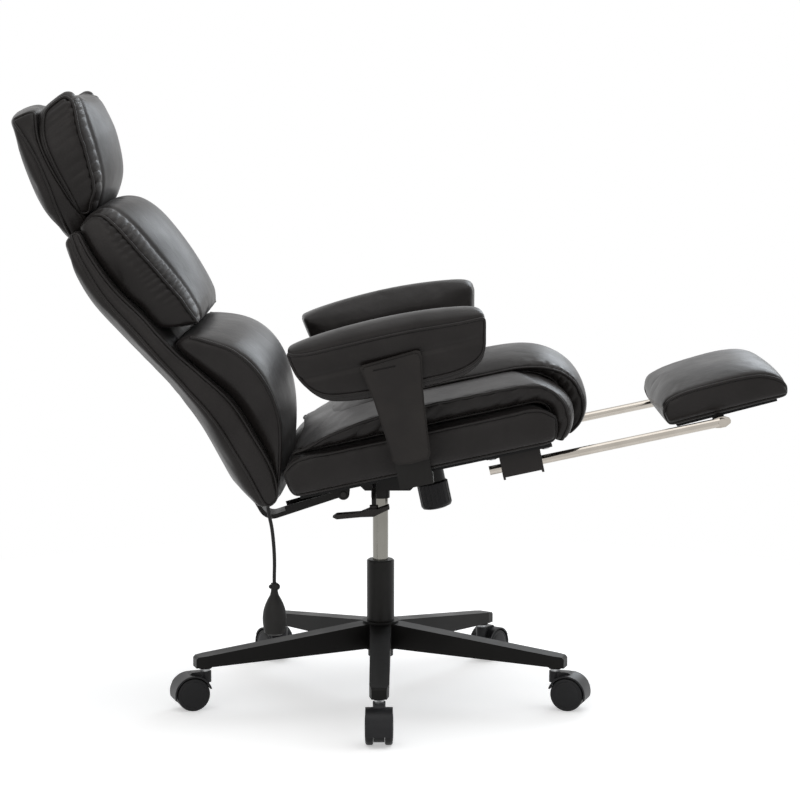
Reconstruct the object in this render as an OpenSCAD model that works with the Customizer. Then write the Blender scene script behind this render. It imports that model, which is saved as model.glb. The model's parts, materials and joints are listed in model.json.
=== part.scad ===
// Reclining office chair with a slide-out footrest, shown leaning back with the footrest out.
// Sizes are in millimetres. The origin is on the floor under the gas column, +X is forward,
// +Y is the sitter's left and +Z is up.

/* [Seat] */
// Height of the tilt frame above the floor, on the column's axis
seat_z = 400; // [380:5:430]
// Backward tilt of the seat as built, in degrees
seat_tilt = 12; // [9:0.5:13]
// Length of the seat base from back to front
seat_len = 488; // [440:2:530]
// Width of the seat base
seat_w = 540; // [500:5:580]
// Thickness of the boxed seat base
base_t = 79; // [70:1:90]
// Thickness of the middle seat layer
middle_t = 45; // [36:1:56]
// Thickness of the centre seat cushion
centre_t = 40; // [32:1:50]
// Width of the centre seat cushion
centre_w = 286; // [240:2:330]

/* [Back] */
// Lean of the back frame from the floor, in degrees
back_angle = 54; // [54:0.5:56]
// Height of the padded back along its lean, without the headrest
back_len = 600; // [580:5:620]
// Width of the back
back_w = 500; // [440:5:520]
// Depth that the back's layers share
back_depth = 200; // [185:1:205]
// Height of the headrest along the lean of the back
head_len = 215; // [180:5:240]
// Width of the headrest
head_w = 380; // [320:5:420]
// Thickness of the plywood back board
back_board_t = 12; // [9:1:14]

/* [Arms] */
// Length of an arm pad
arm_len = 344; // [300:2:370]
// Width of an arm pad
arm_w = 90; // [76:1:94]
// Height of an arm pad from its underside to its crown
arm_t = 128; // [100:1:130]
// Distance from the seat's side to an arm pad's outer face
arm_reach = 72; // [68:1:90]
// Thickness of the plastic arm post
post_t = 15; // [12:1:20]

/* [Footrest] */
// Distance that the footrest rails slide in
slide_travel = 305; // [280:5:305]
// Outer diameter of a rail tube
rail_d = 16; // [14:1:18]
// Wall of a rail tube
rail_wall = 1.5; // [1:0.1:2.5]
// Gap between the footrest pad's side and a rail
rail_gap = 8; // [8:0.5:14]
// Length of the footrest pad
rest_len = 224; // [180:2:226]
// Width of the footrest pad
rest_w = 368; // [320:2:370]
// Thickness of the footrest pad at its crown
rest_t = 72; // [56:1:76]
// Lean of the footrest pad from the floor, in degrees
rest_lean = 14.5; // [12:0.5:17]

/* [Column and base] */
// Outer diameter of the column tube
column_d = 50; // [44:1:56]
// Height of the column's top above the floor
column_top = 251; // [235:1:262]
// Diameter of the chromed cylinder
cylinder_d = 28; // [24:1:30]
// Number of legs of the star base
legs = 5; // [5:1:6]
// Distance from the column's axis to a caster's stem
caster_r = 331; // [300:1:350]
// Width of a leg
leg_w = 38; // [32:1:44]
// Height of the top of the base's hub above the floor
hub_top = 140; // [130:1:150]
// Height of a leg's tip above the floor
tip_top = 96; // [92:1:104]

/* [Casters] */
// Diameter of a caster wheel
wheel_d = 60; // [50:1:62]
// Width of one of a caster's two wheels
wheel_w = 13.5; // [10:0.5:15]
// Overall width of a caster
caster_w = 47; // [44:1:52]
// Distance from a caster's stem to its axle
trail = 26; // [20:1:30]

/* [Mechanism] */
// Distance of the tilt pin in front of the column's axis
tilt_x = 42; // [38:1:46]
// Height of the tilt pin above the floor
tilt_z = 404; // [401:0.5:407]
// Distance of the recline pin behind the column's axis
recline_x = 67; // [64:1:72]
// Height of the recline pin above the floor
recline_z = 378; // [375:0.5:382]
// Thickness of the bar that carries the back
bar_t = 8; // [6:0.5:9]
// Width of the bar that carries the back
bar_w = 60; // [44:1:64]
// Diameter of the tension knob
knob_d = 57; // [50:1:58]

/* [Pump] */
// Diameter of the pump's rubber bulb
bulb_d = 45; // [38:1:48]
// Outer diameter of the pump's hose
hose_d = 6.5; // [6:0.5:7]

/* [Hidden] */
$fn = 48;
// How far a cutting tool runs past the face that it cuts
over = 1;
// Radial clearance of a part that turns or slides
run_gap = 0.05;
// Clearance between two soft layers
soft_gap = 0.4;
arm_out = seat_w / 2 + arm_reach;
rail_y = rest_w / 2 + rail_gap + rail_d / 2;
leather = "#2b2826";
black_plastic = "#302c2a";
black_paint = "#262523";

// Seat levels, above the tilt frame's origin
seat_floor = 33;
board_t = 12;
board_inset = 22;
plate_t = 3;
plate_floor = seat_floor - plate_t;

// A place on the seat: how far along, and how high as a count of layers
function level(k) = seat_floor + base_t * min(k, 1) + middle_t * max(min(k - 1, 1), 0)
    + centre_t * max(k - 2, 0);
function seat_row(r) = [seat_len * r[0], level(r[1]), seat_len * r[2], level(r[3]), r[4]];
function back_row(r) = [back_len * r[0], back_depth * r[1], back_len * r[2],
    back_depth * r[3], r[4]];

// Each row gives the lower and the upper edge of one section of the cushion as shares of
// the length and of the layers, then its half width as a share of the full half width.
base_shares = [[-0.310, 0.02, -0.312, 0.75, 0.965], [-0.25, 0.00, -0.25, 0.99, 1],
    [-0.10, 0, -0.10, 1, 1], [0.10, 0, 0.10, 1, 1], [0.30, 0, 0.30, 1, 1],
    [0.50, 0, 0.50, 1, 1], [0.615, 0, 0.615, 0.985, 0.995], [0.673, 0.06, 0.678, 0.70, 0.965]];
middle_shares = [[-0.275, 1.035, -0.280, 1.15, 0.93], [-0.21, 1.025, -0.22, 1.38, 0.97],
    [-0.10, 1.01, -0.11, 1.72, 0.985], [0.05, 1.01, 0.05, 1.96, 0.99],
    [0.22, 1.01, 0.22, 2, 0.99], [0.40, 1.01, 0.40, 2, 0.99], [0.55, 1.01, 0.56, 1.99, 0.99],
    [0.63, 1.01, 0.66, 1.82, 0.985], [0.682, 0.86, 0.733, 1.08, 0.975],
    [0.698, 0.60, 0.756, 0.60, 0.965], [0.697, 0.34, 0.750, 0.26, 0.94],
    [0.694, 0.18, 0.731, 0.10, 0.90]];
centre_shares = [[-0.135, 2.03, -0.150, 2.36, 0.93], [-0.07, 2.01, -0.08, 2.80, 0.98],
    [0.08, 2.02, 0.08, 2.98, 1], [0.28, 2.02, 0.28, 3.02, 1], [0.46, 2.02, 0.47, 3.00, 1],
    [0.60, 2.02, 0.64, 2.84, 1], [0.70, 1.68, 0.742, 2.20, 0.99],
    [0.751, 1.16, 0.800, 1.38, 0.98], [0.766, 0.70, 0.818, 0.66, 0.96],
    [0.764, 0.34, 0.810, 0.20, 0.93], [0.757, 0.06, 0.786, -0.04, 0.88]];
shell_shares = [[0.032, 0.16, 0.015, 0.32, 0.94], [0.10, 0.115, 0.09, 0.49, 0.98],
    [0.20, 0.15, 0.20, 0.56, 1], [0.32, 0.19, 0.32, 0.58, 1], [0.435, 0.19, 0.435, 0.51, 1],
    [0.55, 0.145, 0.55, 0.43, 0.98], [0.67, 0.10, 0.67, 0.39, 0.95],
    [0.79, 0.06, 0.79, 0.33, 0.92], [0.90, 0.08, 0.90, 0.335, 0.90],
    [0.983, 0.15, 0.985, 0.37, 0.84]];
lumbar_shares = [[0.068, 0.475, 0.063, 0.52, 0.86], [0.115, 0.515, 0.105, 0.66, 0.94],
    [0.205, 0.57, 0.19, 0.88, 0.985], [0.31, 0.592, 0.28, 1.02, 1],
    [0.40, 0.55, 0.37, 1.07, 1], [0.49, 0.487, 0.445, 1.02, 0.985],
    [0.582, 0.43, 0.515, 0.86, 0.95]];
upper_shares = [[0.60, 0.43, 0.545, 0.83, 0.87], [0.67, 0.397, 0.645, 0.915, 0.89],
    [0.78, 0.342, 0.765, 0.95, 0.88], [0.90, 0.342, 0.89, 0.93, 0.86],
    [0.975, 0.385, 0.965, 0.84, 0.83], [0.993, 0.41, 0.995, 0.74, 0.80]];
// The headrest's rows are shares of its own height above the back, and of the back's depth
head_shell_shares = [[-0.043, 0.15, -0.040, 0.45, 0.88], [0.19, 0.14, 0.195, 0.46, 0.97],
    [0.46, 0.21, 0.46, 0.485, 1], [0.70, 0.275, 0.68, 0.535, 0.98],
    [0.885, 0.34, 0.82, 0.625, 0.93], [0.99, 0.44, 0.90, 0.73, 0.84]];
head_pillow_shares = [[0.02, 0.453, 0.00, 0.60, 0.84], [0.195, 0.465, 0.14, 0.85, 0.94],
    [0.46, 0.49, 0.42, 1.015, 0.97], [0.68, 0.54, 0.65, 1.065, 0.94],
    [0.81, 0.63, 0.80, 1.06, 0.88], [0.87, 0.73, 0.865, 0.98, 0.78]];
arm_shares = [[0.00, 0.80, -0.005, 0.86, 0.80], [0.03, 0.42, 0.01, 0.90, 0.93],
    [0.12, 0.12, 0.10, 0.945, 1], [0.25, 0.02, 0.25, 0.98, 1], [0.45, 0, 0.45, 1, 1],
    [0.65, 0, 0.65, 0.995, 1], [0.82, 0.03, 0.84, 0.955, 1], [0.94, 0.20, 0.95, 0.905, 0.95],
    [0.975, 0.50, 1.00, 0.82, 0.84]];
rest_shares = [[0.02, 0.06, 0.00, 0.58, 0.93], [0.06, 0.00, 0.05, 0.90, 0.98],
    [0.20, 0, 0.20, 1.06, 1], [0.45, 0, 0.45, 1.12, 1], [0.70, 0, 0.70, 1.12, 1],
    [0.87, 0, 0.86, 1.00, 0.99], [0.98, 0.02, 0.96, 0.60, 0.97],
    [0.998, 0.06, 0.995, 0.24, 0.92]];

// Values of a smooth curve through the rows of a table, at a share t of the way along it
function spline(rows, t) = let(n = len(rows) - 1, i = min(floor(t * n), n - 1), f = t * n - i,
    a = rows[max(i - 1, 0)], b = rows[i], c = rows[i + 1], d = rows[min(i + 2, n)])
    0.5 * (2 * b + (c - a) * f + (2 * a - 5 * b + 4 * c - d) * pow(f, 2)
    + (3 * b - a - 3 * c + d) * pow(f, 3));
function signed_pow(v, p) = sign(v) * pow(abs(v), p);
// Share of full thickness near an end, which rounds the end over
function end_fill(t, round_share) = let(x = min(min(t, 1 - t) / round_share + 0.06, 1))
    sqrt(1 - pow(1 - x, 2));

// A stuffed form: sections along a table of rows, each with a flatter underside, a crowned
// top and sides that draw in towards the middle of its length. groove presses a stitched
// channel into the top at a share of the half width.
function pillow_ring(rows, t, half_w, sides, flat_power, crown_power, draw, groove) =
    let(r = spline(rows, t), low = [r[0], r[1]], high = [r[2], r[3]],
    mid = (low + high) / 2, half = (high - low) / 2, fill = end_fill(t, 0.09),
    w = half_w * r[4] - draw * sin(180 * t))
    [for (j = [0:sides - 1]) let(a = 360 * j / sides, c = cos(a), s = sin(a),
    p = 2 / (s < 0 ? flat_power : crown_power), y = signed_pow(c, p),
    dip = s < 0 ? 0 : groove * exp(-pow((abs(y) - 0.80) / 0.07, 2)),
    q = mid + half * (signed_pow(s, p) * fill - dip)) [q[0], w * y, q[1]]];
module pillow(rows, half_w, flat_power = 7, crown_power = 3, draw = 0, groove = 0,
    steps = 14, sides = 24) {
    points = [for (k = [0:steps]) let(t = (1 - cos(180 * k / steps)) / 2)
        each pillow_ring(rows, t, half_w, sides, flat_power, crown_power, draw, groove)];
    last = steps * sides;
    faces = [for (k = [0:steps - 1], j = [0:sides - 1]) let(a = k * sides + j,
        b = k * sides + (j + 1) % sides) each [[a, b, a + sides], [b, b + sides, a + sides]],
        for (j = [1:sides - 2]) each [[0, j + 1, j], [last, last + j, last + j + 1]]];
    polyhedron(points, faces, convexity = 8);
}

// Frames that the parts are drawn in: the seat leans with the seat, the back's x runs up the
// back and its z out of its front, and the footrest's origin is on its pivot
module in_seat() {
    translate([0, 0, seat_z]) rotate([0, -seat_tilt, 0]) children();
}
back_x = -230;
back_z = 350;
module in_back() {
    translate([back_x, 0, back_z]) rotate([180, back_angle - 180, 0]) children();
}
function from_back(s, n) = [back_x - s * cos(back_angle) + n * sin(back_angle),
    back_z + s * sin(back_angle) + n * cos(back_angle)];
// An outline drawn in x and z, given a width along y about the middle
module slab(width, y = 0) {
    translate([0, y + width / 2, 0]) rotate([90, 0, 0]) linear_extrude(width) children();
}
module pin_y(r, length, x, z, y = 0) {
    translate([x, y + length / 2, z]) rotate([90, 0, 0]) cylinder(r = r, h = length);
}

// Star base: a hub with a tapered socket and five hollow, ribbed legs
hub_floor = 89;
hub_r = 33;
socket_low_r = 23;
leg_floor = 76;
leg_end = 350;
leg_wall = 4;
leg_root_h = 44;
rib_t = 3;
boss_r = 12;
boss_floor = 73;
stem_r = 5.5;
tip_w = 34;
rib_shares = [0.30, 0.45, 0.60, 0.75];
module leg_side() {
    polygon([[0, hub_floor], [hub_r, hub_floor + leg_wall / 2], [leg_end, leg_floor],
        [leg_end, tip_top - leg_wall], [leg_end - leg_wall, tip_top], [hub_r, hub_top - leg_wall],
        [0, hub_top - leg_wall]]);
}
module leg_plan(inset = 0) {
    polygon([[0, leg_w / 2 - inset], [caster_r, tip_w / 2 - inset],
        [leg_end - inset, tip_w / 2 - leg_wall - inset / 2],
        [leg_end - inset, leg_wall + inset / 2 - tip_w / 2], [caster_r, inset - tip_w / 2],
        [0, inset - leg_w / 2]]);
}
module leg() {
    intersection() {
        slab(leg_w) leg_side();
        translate([0, 0, boss_floor]) linear_extrude(hub_top) leg_plan();
    }
}
module leg_pocket() {
    intersection() {
        translate([0, 0, -leg_wall]) slab(leg_w) leg_side();
        difference() {
            linear_extrude(hub_top) leg_plan(leg_wall);
            translate([-over, -leg_w, 0]) cube([hub_r + leg_wall, leg_w * 2, hub_top]);
            for (k = rib_shares) translate([caster_r * k, -leg_w, 0])
                cube([rib_t, leg_w * 2, hub_top]);
            translate([caster_r, 0, 0]) cylinder(r = boss_r, h = hub_top);
        }
    }
}
module base_star() {
    color(black_paint) difference() {
        union() {
            translate([0, 0, hub_floor]) cylinder(r = hub_r, h = hub_top - hub_floor);
            for (k = [0:legs - 1]) rotate([0, 0, 360 / legs * k - 90]) {
                difference() {
                    leg();
                    leg_pocket();
                }
                translate([caster_r, 0, boss_floor])
                    cylinder(r = boss_r, h = tip_top - boss_floor - leg_wall);
            }
        }
        translate([0, 0, hub_floor - over]) cylinder(r1 = socket_low_r + run_gap,
            r2 = column_d / 2 + run_gap, h = hub_top - hub_floor + 2 * over);
        for (k = [0:legs - 1]) rotate([0, 0, 360 / legs * k - 90])
            translate([caster_r, 0, boss_floor - over]) cylinder(r = stem_r + run_gap, h = stem_h);
    }
}

// Casters: a hood that swivels on its stem, and two wheels on one axle
stem_h = 20;
stem_collar_r = 8.5;
axle_r = 4;
hood_core_w = 19;
hood_gap = 1.5;
hood_t = 3;
hood_arc = 68;
collar_h = 4;
hood_top = boss_floor - collar_h - hood_gap / 2;
stem_boss_r = 11;
fork_drop = 12;
wheel_dish = 5;
wheel_hub_r = 9;
wheel_round = 4;
face_ring_share = 0.62;
module at_caster(k) {
    rotate([0, 0, 360 / legs * (k - 1) - 90]) translate([caster_r, 0, 0]) children();
}
module caster_hood(k) {
    ride_r = wheel_d / 2 + hood_gap;
    color(black_plastic) at_caster(k) difference() {
        union() {
            pin_y(ride_r - fork_drop / 2, hood_core_w, trail, wheel_d / 2);
            intersection() {
                difference() {
                    pin_y(ride_r + hood_t, caster_w, trail, wheel_d / 2);
                    pin_y(ride_r, caster_w + 2 * over, trail, wheel_d / 2);
                }
                translate([trail, 0, wheel_d / 2]) slab(caster_w) polygon([[0, 0],
                    [-wheel_d * 2, wheel_d * 0.6], [-wheel_d * 2, wheel_d * 2],
                    [wheel_d * 2, wheel_d * 2], [wheel_d * 2, wheel_d * 1.1]]);
            }
            slab(hood_core_w) polygon([[-stem_boss_r / 2, hood_top - stem_h / 2],
                [-stem_boss_r / 2, hood_top], [trail, hood_top], [trail + ride_r * 0.8, wheel_d * 0.78],
                [trail, wheel_d / 2], [trail - ride_r * 0.7, wheel_d * 0.4]]);
            translate([0, 0, hood_top - stem_h]) cylinder(r = stem_boss_r, h = stem_h);
        }
        translate([0, 0, hood_top + over - stem_h]) cylinder(r = stem_r + run_gap, h = stem_h);
        pin_y(axle_r + run_gap, caster_w * 2, trail, wheel_d / 2);
    }
}
module caster_pins(k) {
    color("silver") at_caster(k) {
        translate([0, 0, hood_top + 2 * over - stem_h])
            cylinder(r = stem_r, h = stem_h * 2 - 2 * over);
        translate([0, 0, hood_top]) cylinder(r = stem_collar_r, h = collar_h);
        pin_y(axle_r, caster_w - wheel_dish, trail, wheel_d / 2);
    }
}
module caster_wheels(k) {
    r = wheel_d / 2;
    color("#2a2a2c") at_caster(k) for (side = [0, 1]) mirror([0, side, 0])
        translate([trail, caster_w / 2, r]) rotate([90, 0, 0]) rotate_extrude()
        polygon([[axle_r + run_gap, wheel_dish], [wheel_hub_r, wheel_dish],
            [wheel_hub_r + hood_t, wheel_dish / 2], [r * face_ring_share, hood_t / 2],
            [r - wheel_round, 0], [r - wheel_round * 0.3, wheel_round * 0.3], [r, wheel_round],
            [r, wheel_w - wheel_round / 2], [r - wheel_round / 2, wheel_w],
            [axle_r + run_gap, wheel_w]]);
}

// Gas lift: column tube, bush, chromed cylinder, and the rod that stands on its bearing
column_floor = 74;
column_wall = 2.5;
floor_t = 4;
rod_r = 5;
clip_r = 9;
bush_h = 60;
bush_gap = 0.1;
piston_h = 12;
piston_top = 215;
bearing_h = 8;
cylinder_wall = 2.8;
cylinder_low = 188;
cylinder_top = 409;
button_r = 4;
button_h = 11;
button_proud = 7;
button_travel = 4.5;
module gas_column() {
    r = column_d / 2;
    color(black_paint) difference() {
        union() {
            translate([0, 0, column_floor]) cylinder(r = socket_low_r, h = hub_floor - column_floor);
            translate([0, 0, hub_floor]) cylinder(r1 = socket_low_r, r2 = r, h = hub_top - hub_floor);
            translate([0, 0, hub_top]) cylinder(r = r, h = column_top - hub_top);
        }
        translate([0, 0, column_floor + floor_t])
            cylinder(r = socket_low_r - column_wall, h = column_top - column_floor);
        translate([0, 0, column_floor - over]) cylinder(r = rod_r + run_gap, h = floor_t + 2 * over);
    }
}
module column_bush() {
    color("#1c1c1c") translate([0, 0, column_top - bush_h]) difference() {
        union() {
            cylinder(r = socket_low_r - column_wall, h = bush_h);
            translate([0, 0, bush_h]) cylinder(r = column_d / 2 - column_wall, h = floor_t / 2);
        }
        translate([0, 0, -over]) cylinder(r = cylinder_d / 2 + run_gap, h = bush_h + floor_t);
    }
}
module gas_rod() {
    color("silver") {
        translate([0, 0, column_floor - floor_t]) cylinder(r = rod_r, h = piston_top - column_floor);
        translate([0, 0, piston_top - piston_h])
            cylinder(r = cylinder_d / 2 - cylinder_wall - run_gap, h = piston_h);
        translate([0, 0, column_floor - floor_t / 2]) cylinder(r = clip_r, h = floor_t / 2 - run_gap);
    }
}
module thrust_bearing() {
    color("silver") translate([0, 0, column_floor + floor_t + run_gap]) difference() {
        cylinder(r = clip_r + rod_r, h = bearing_h);
        translate([0, 0, -over]) cylinder(r = rod_r + run_gap, h = bearing_h + 2 * over);
    }
}
module gas_cylinder() {
    color("#d8d8d8") difference() {
        translate([0, 0, cylinder_low]) cylinder(r = cylinder_d / 2, h = cylinder_top - cylinder_low);
        translate([0, 0, cylinder_low - over]) cylinder(r = cylinder_d / 2 - cylinder_wall,
            h = cylinder_top - cylinder_low - 2 * button_h);
        translate([0, 0, cylinder_top - 2 * button_h])
            cylinder(r = button_r + run_gap, h = 2 * button_h + over);
    }
}
module gas_button() {
    color("gray") translate([0, 0, cylinder_top + button_proud - button_h])
        cylinder(r = button_r, h = button_h);
}

// Tilt mechanism. The housing grips the cylinder; the plate under the seat tilts on a pin
// through both, and a tongue of the housing presses the spring against the tension knob.
housing_low = 385;
housing_h = 24;
housing_back = -40;
housing_front = 66;
housing_w = 72;
collar_r = 17;
collar_low = 367;
housing_round = 12;
pin_r = 5;
ear_t = 4;
ear_gap = 0.3;
tongue_t = 3;
tongue_w = 24;
tongue_low = 403;
tongue_front = 106;
knob_u = 91;
bolt_r = 5;
slot_r = 8;
wall_t = 5;
lever_x = -10;
lever_z = 420.5;
lever_r = 4;
lever_pin_r = 2;
lever_pin_out = 33.5;
lever_ear_w = 9;
module mech_housing() {
    color(black_paint) difference() {
        union() {
            difference() {
                slab(housing_w) polygon([[housing_back, housing_low + housing_round],
                    [housing_back + housing_round, housing_low],
                    [housing_front - housing_round, housing_low],
                    [housing_front, housing_low + housing_round],
                    [housing_front, housing_low + housing_h],
                    [housing_back, housing_low + housing_h]]);
                translate([housing_back + wall_t, wall_t - housing_w / 2, housing_low + wall_t])
                    cube([housing_front - housing_back - 2 * wall_t, housing_w - 2 * wall_t,
                    housing_h]);
            }
            translate([0, 0, collar_low]) cylinder(r = collar_r,
                h = cylinder_top - collar_low - wall_t);
            translate([housing_front - wall_t, -tongue_w / 2, tongue_low])
                cube([tongue_front - housing_front + wall_t, tongue_w, tongue_t]);
            for (s = [-1, 1]) translate([lever_x + s * (lever_r + ear_t / 2 + ear_gap) - ear_t / 2,
                -lever_pin_out - lever_ear_w / 2, housing_low + housing_h / 2])
                cube([ear_t, lever_ear_w, lever_z + lever_r - housing_low - housing_h / 2]);
        }
        translate([0, 0, collar_low - over])
            cylinder(r = cylinder_d / 2 + run_gap, h = cylinder_top);
        pin_y(pin_r + run_gap, housing_w + 2 * over, tilt_x, tilt_z);
        translate([lever_x - 2 * slot_r, -lever_pin_out, lever_z]) rotate([0, 90, 0])
            cylinder(r = lever_pin_r + run_gap, h = 4 * slot_r);
        for (k = [0, 1]) translate([knob_x + slot_r * (k - 0.5), 0, tongue_low - over])
            cylinder(r = slot_r, h = tongue_t + 2 * over);
        translate([knob_x - slot_r / 2, -slot_r, tongue_low - over])
            cube([slot_r, 2 * slot_r, tongue_t + 2 * over]);
    }
}
// Where the knob's axis crosses the tongue
knob_x = knob_u * cos(seat_tilt) - (tongue_low - seat_z - knob_u * sin(seat_tilt))
    * tan(seat_tilt) - over;
module tilt_pin() {
    color("silver") pin_y(pin_r, housing_w + 4 * ear_t, tilt_x, tilt_z);
}

// Where the two pins lie in the seat's frame
function in_seat_u(x, z) = x * cos(seat_tilt) + (z - seat_z) * sin(seat_tilt);
function in_seat_v(x, z) = (z - seat_z) * cos(seat_tilt) - x * sin(seat_tilt);
tilt_u = in_seat_u(tilt_x, tilt_z);
tilt_v = in_seat_v(tilt_x, tilt_z);
recline_u = in_seat_u(-recline_x, recline_z);
recline_v = in_seat_v(-recline_x, recline_z);
plate_back = -112;
plate_front = 118;
plate_w = 190;
eye_r = 11;
ear_run = 26;
cup_r = 25;
cup_wall = 2.5;
cup_low = -22;
bolt_out_shares = [-0.36, 0.36];
screw_r = 4;
head_r = 6.5;
head_h = 4;
// Where the seat plate's four bolts go: near its corners
module at_plate_bolts() {
    for (i = [0, 1], j = bolt_out_shares) translate([i == 0 ? plate_back + 3 * screw_r
        : plate_front - 3 * screw_r, plate_w * j, 0]) children();
}
module mech_plate() {
    color(black_paint) in_seat() difference() {
        union() {
            translate([plate_back, -plate_w / 2, plate_floor])
                cube([plate_front - plate_back, plate_w, plate_t]);
            for (s = [-1, 1]) {
                slab(ear_t, s * (housing_w / 2 + ear_t / 2 + ear_gap)) polygon([
                    [tilt_u - ear_run, plate_floor + over / 2], [tilt_u + ear_run, plate_floor + over / 2],
                    [tilt_u + eye_r, tilt_v], [tilt_u + eye_r / 2, tilt_v - eye_r * 0.8],
                    [tilt_u - eye_r / 2, tilt_v - eye_r * 0.8], [tilt_u - eye_r, tilt_v]]);
                slab(ear_t, s * (bar_w / 2 + ear_t / 2 + ear_gap)) polygon([
                    [recline_u - ear_run, plate_floor + over / 2],
                    [recline_u + ear_run, plate_floor + over / 2],
                    [recline_u + eye_r, recline_v], [recline_u + eye_r / 2, recline_v - eye_r * 0.8],
                    [recline_u - eye_r / 2, recline_v - eye_r * 0.8], [recline_u - eye_r, recline_v]]);
            }
            translate([knob_u, 0, cup_low]) cylinder(r = cup_r, h = plate_floor - cup_low + over / 2);
        }
        translate([knob_u, 0, cup_low - over])
            cylinder(r = cup_r - cup_wall, h = plate_floor - cup_low + over);
        translate([knob_u - 2 * cup_r, -tongue_w / 2 - ear_t, -cup_r])
            cube([2 * cup_r, tongue_w + 2 * ear_t, cup_r + cup_wall]);
        pin_y(pin_r + run_gap, plate_w, tilt_u, tilt_v);
        pin_y(pin_r + run_gap, plate_w, recline_u, recline_v);
        at_plate_bolts() translate([0, 0, plate_floor - over])
            cylinder(r = screw_r + run_gap, h = plate_t + 2 * over);
    }
}
spring_wire = 3.4;
spring_r = 12;
spring_turns = 6;
spring_low = -58;
spring_high = -19.4;
knob_low = -72;
knob_high = -23;
knob_round = 5;
knob_bore_r = 17;
knob_seat = -60;
// A round wire coil, swept as one unbroken tube
module tension_spring() {
    steps = spring_turns * 10;
    sides = 6;
    w = spring_wire / 2;
    rise = spring_high - spring_low - spring_wire;
    points = [for (k = [0:steps], j = [0:sides - 1]) let(a = 360 * spring_turns * k / steps,
        b = 360 * j / sides, r = spring_r + w * cos(b))
        [r * cos(a), r * sin(a), spring_low + w + rise * k / steps + w * sin(b)]];
    faces = [for (k = [0:steps - 1], j = [0:sides - 1]) let(a = k * sides + j,
        b = k * sides + (j + 1) % sides) each [[a, a + sides, b], [b, a + sides, b + sides]],
        for (j = [1:sides - 2]) each [[0, j, j + 1],
        [steps * sides, steps * sides + j + 1, steps * sides + j]]];
    color("gray") in_seat() translate([knob_u, 0, 0]) polyhedron(points, faces, convexity = 12);
}
module tension_bolt() {
    color("silver") in_seat() translate([knob_u, 0, 0]) {
        translate([0, 0, knob_seat - head_h]) cylinder(r = bolt_r, h = plate_floor - knob_seat + head_h);
        translate([0, 0, plate_floor - head_h]) cylinder(r = bolt_r + head_h, h = head_h);
    }
}
grip_count = 20;
grip_r = 2.2;
module tension_knob() {
    r = knob_d / 2;
    color("#1f1e20") in_seat() translate([knob_u, 0, 0]) difference() {
        rotate_extrude() polygon([[bolt_r + run_gap, knob_low - over],
            [r - 2 * knob_round, knob_low], [r - knob_round / 2, knob_low + knob_round / 2],
            [r, knob_low + knob_round * 1.4], [r, knob_high - knob_round / 2],
            [r - knob_round / 2, knob_high], [knob_bore_r, knob_high], [knob_bore_r, knob_seat],
            [bolt_r + run_gap, knob_seat]]);
        for (k = [0:grip_count - 1]) rotate([0, 0, 360 / grip_count * k])
            translate([r + grip_r * 0.6, 0, knob_low + 2 * knob_round])
            cylinder(r = grip_r, h = knob_high - knob_low, $fn = 16);
    }
}

// Height lever: a bent rod that rocks on its pin over the gas button, and its paddle
lever_out = 188;
lever_in = 10;
lever_dip = 20;
press_t = 3;
press_proud = 0.2;
lever_eye_r = 5;
lever_drop = 22;
paddle_low = 362;
paddle_len = 98;
paddle_t = 7;
paddle_w = 22;
paddle_back = -82;
// The rod runs out over the housing's edge, dips, and bends down into the paddle
lever_bend_r = 12;
module lever_rod() {
    run = lever_out - lever_pin_out;
    slope = atan(lever_dip / run);
    bend_cut = lever_bend_r * tan((90 - slope) / 2);
    color(black_paint) translate([lever_x, 0, lever_z]) {
        translate([0, lever_in, 0]) rotate([90, 0, 0]) cylinder(r = lever_r, h = lever_in + lever_pin_out);
        translate([-lever_r, -button_r - over, -lever_r - press_proud])
            cube([lever_r + button_r - lever_x, 2 * button_r + 2 * over, press_t]);
        translate([0, -lever_pin_out, 0]) {
            rotate([0, 90, 0]) cylinder(r = lever_eye_r, h = 2 * lever_r + ear_gap, center = true);
            rotate([90 + slope, 0, 0]) cylinder(r = lever_r, h = norm([run, lever_dip]) - bend_cut + over);
        }
        translate([0, lever_bend_r - lever_out, -lever_dip - bend_cut]) rotate([90, 0, 90])
            rotate([0, 0, 90 + slope]) rotate_extrude(angle = 90 - slope)
            translate([lever_bend_r, 0]) circle(r = lever_r + 2 * run_gap);
        translate([0, -lever_out, -lever_dip - lever_drop])
            cylinder(r = lever_r, h = lever_drop - bend_cut + over);
        translate([-lever_r - ear_t - ear_gap, -lever_pin_out, 0]) rotate([0, 90, 0])
            cylinder(r = lever_pin_r, h = 2 * (lever_r + ear_t + ear_gap));
    }
}
module lever_paddle() {
    boss_z = lever_z - lever_dip - lever_drop;
    nose = paddle_back + paddle_len;
    color(black_plastic) difference() {
        union() {
            slab(paddle_w, -lever_out) polygon([[paddle_back, paddle_low + paddle_t * 0.3],
                [paddle_back + paddle_t, paddle_low + paddle_t],
                [paddle_back * 0.4, boss_z - paddle_t * 0.9], [lever_x - lever_r * 2, boss_z],
                [lever_x + lever_r * 2, boss_z], [nose, boss_z + paddle_t * 0.9],
                [nose + paddle_t * 0.2, boss_z], [lever_x + lever_r * 2, boss_z - paddle_t * 1.3],
                [lever_x, boss_z - paddle_t * 1.9], [paddle_back * 0.4, boss_z - paddle_t * 2],
                [paddle_back + paddle_t, paddle_low - paddle_t * 0.2]]);
            translate([lever_x, -lever_out, boss_z - paddle_t])
                cylinder(r = lever_r * 1.9, h = paddle_t * 1.8);
        }
        translate([lever_x, -lever_out, boss_z - run_gap])
            cylinder(r = lever_r + run_gap, h = lever_drop);
    }
}

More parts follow.
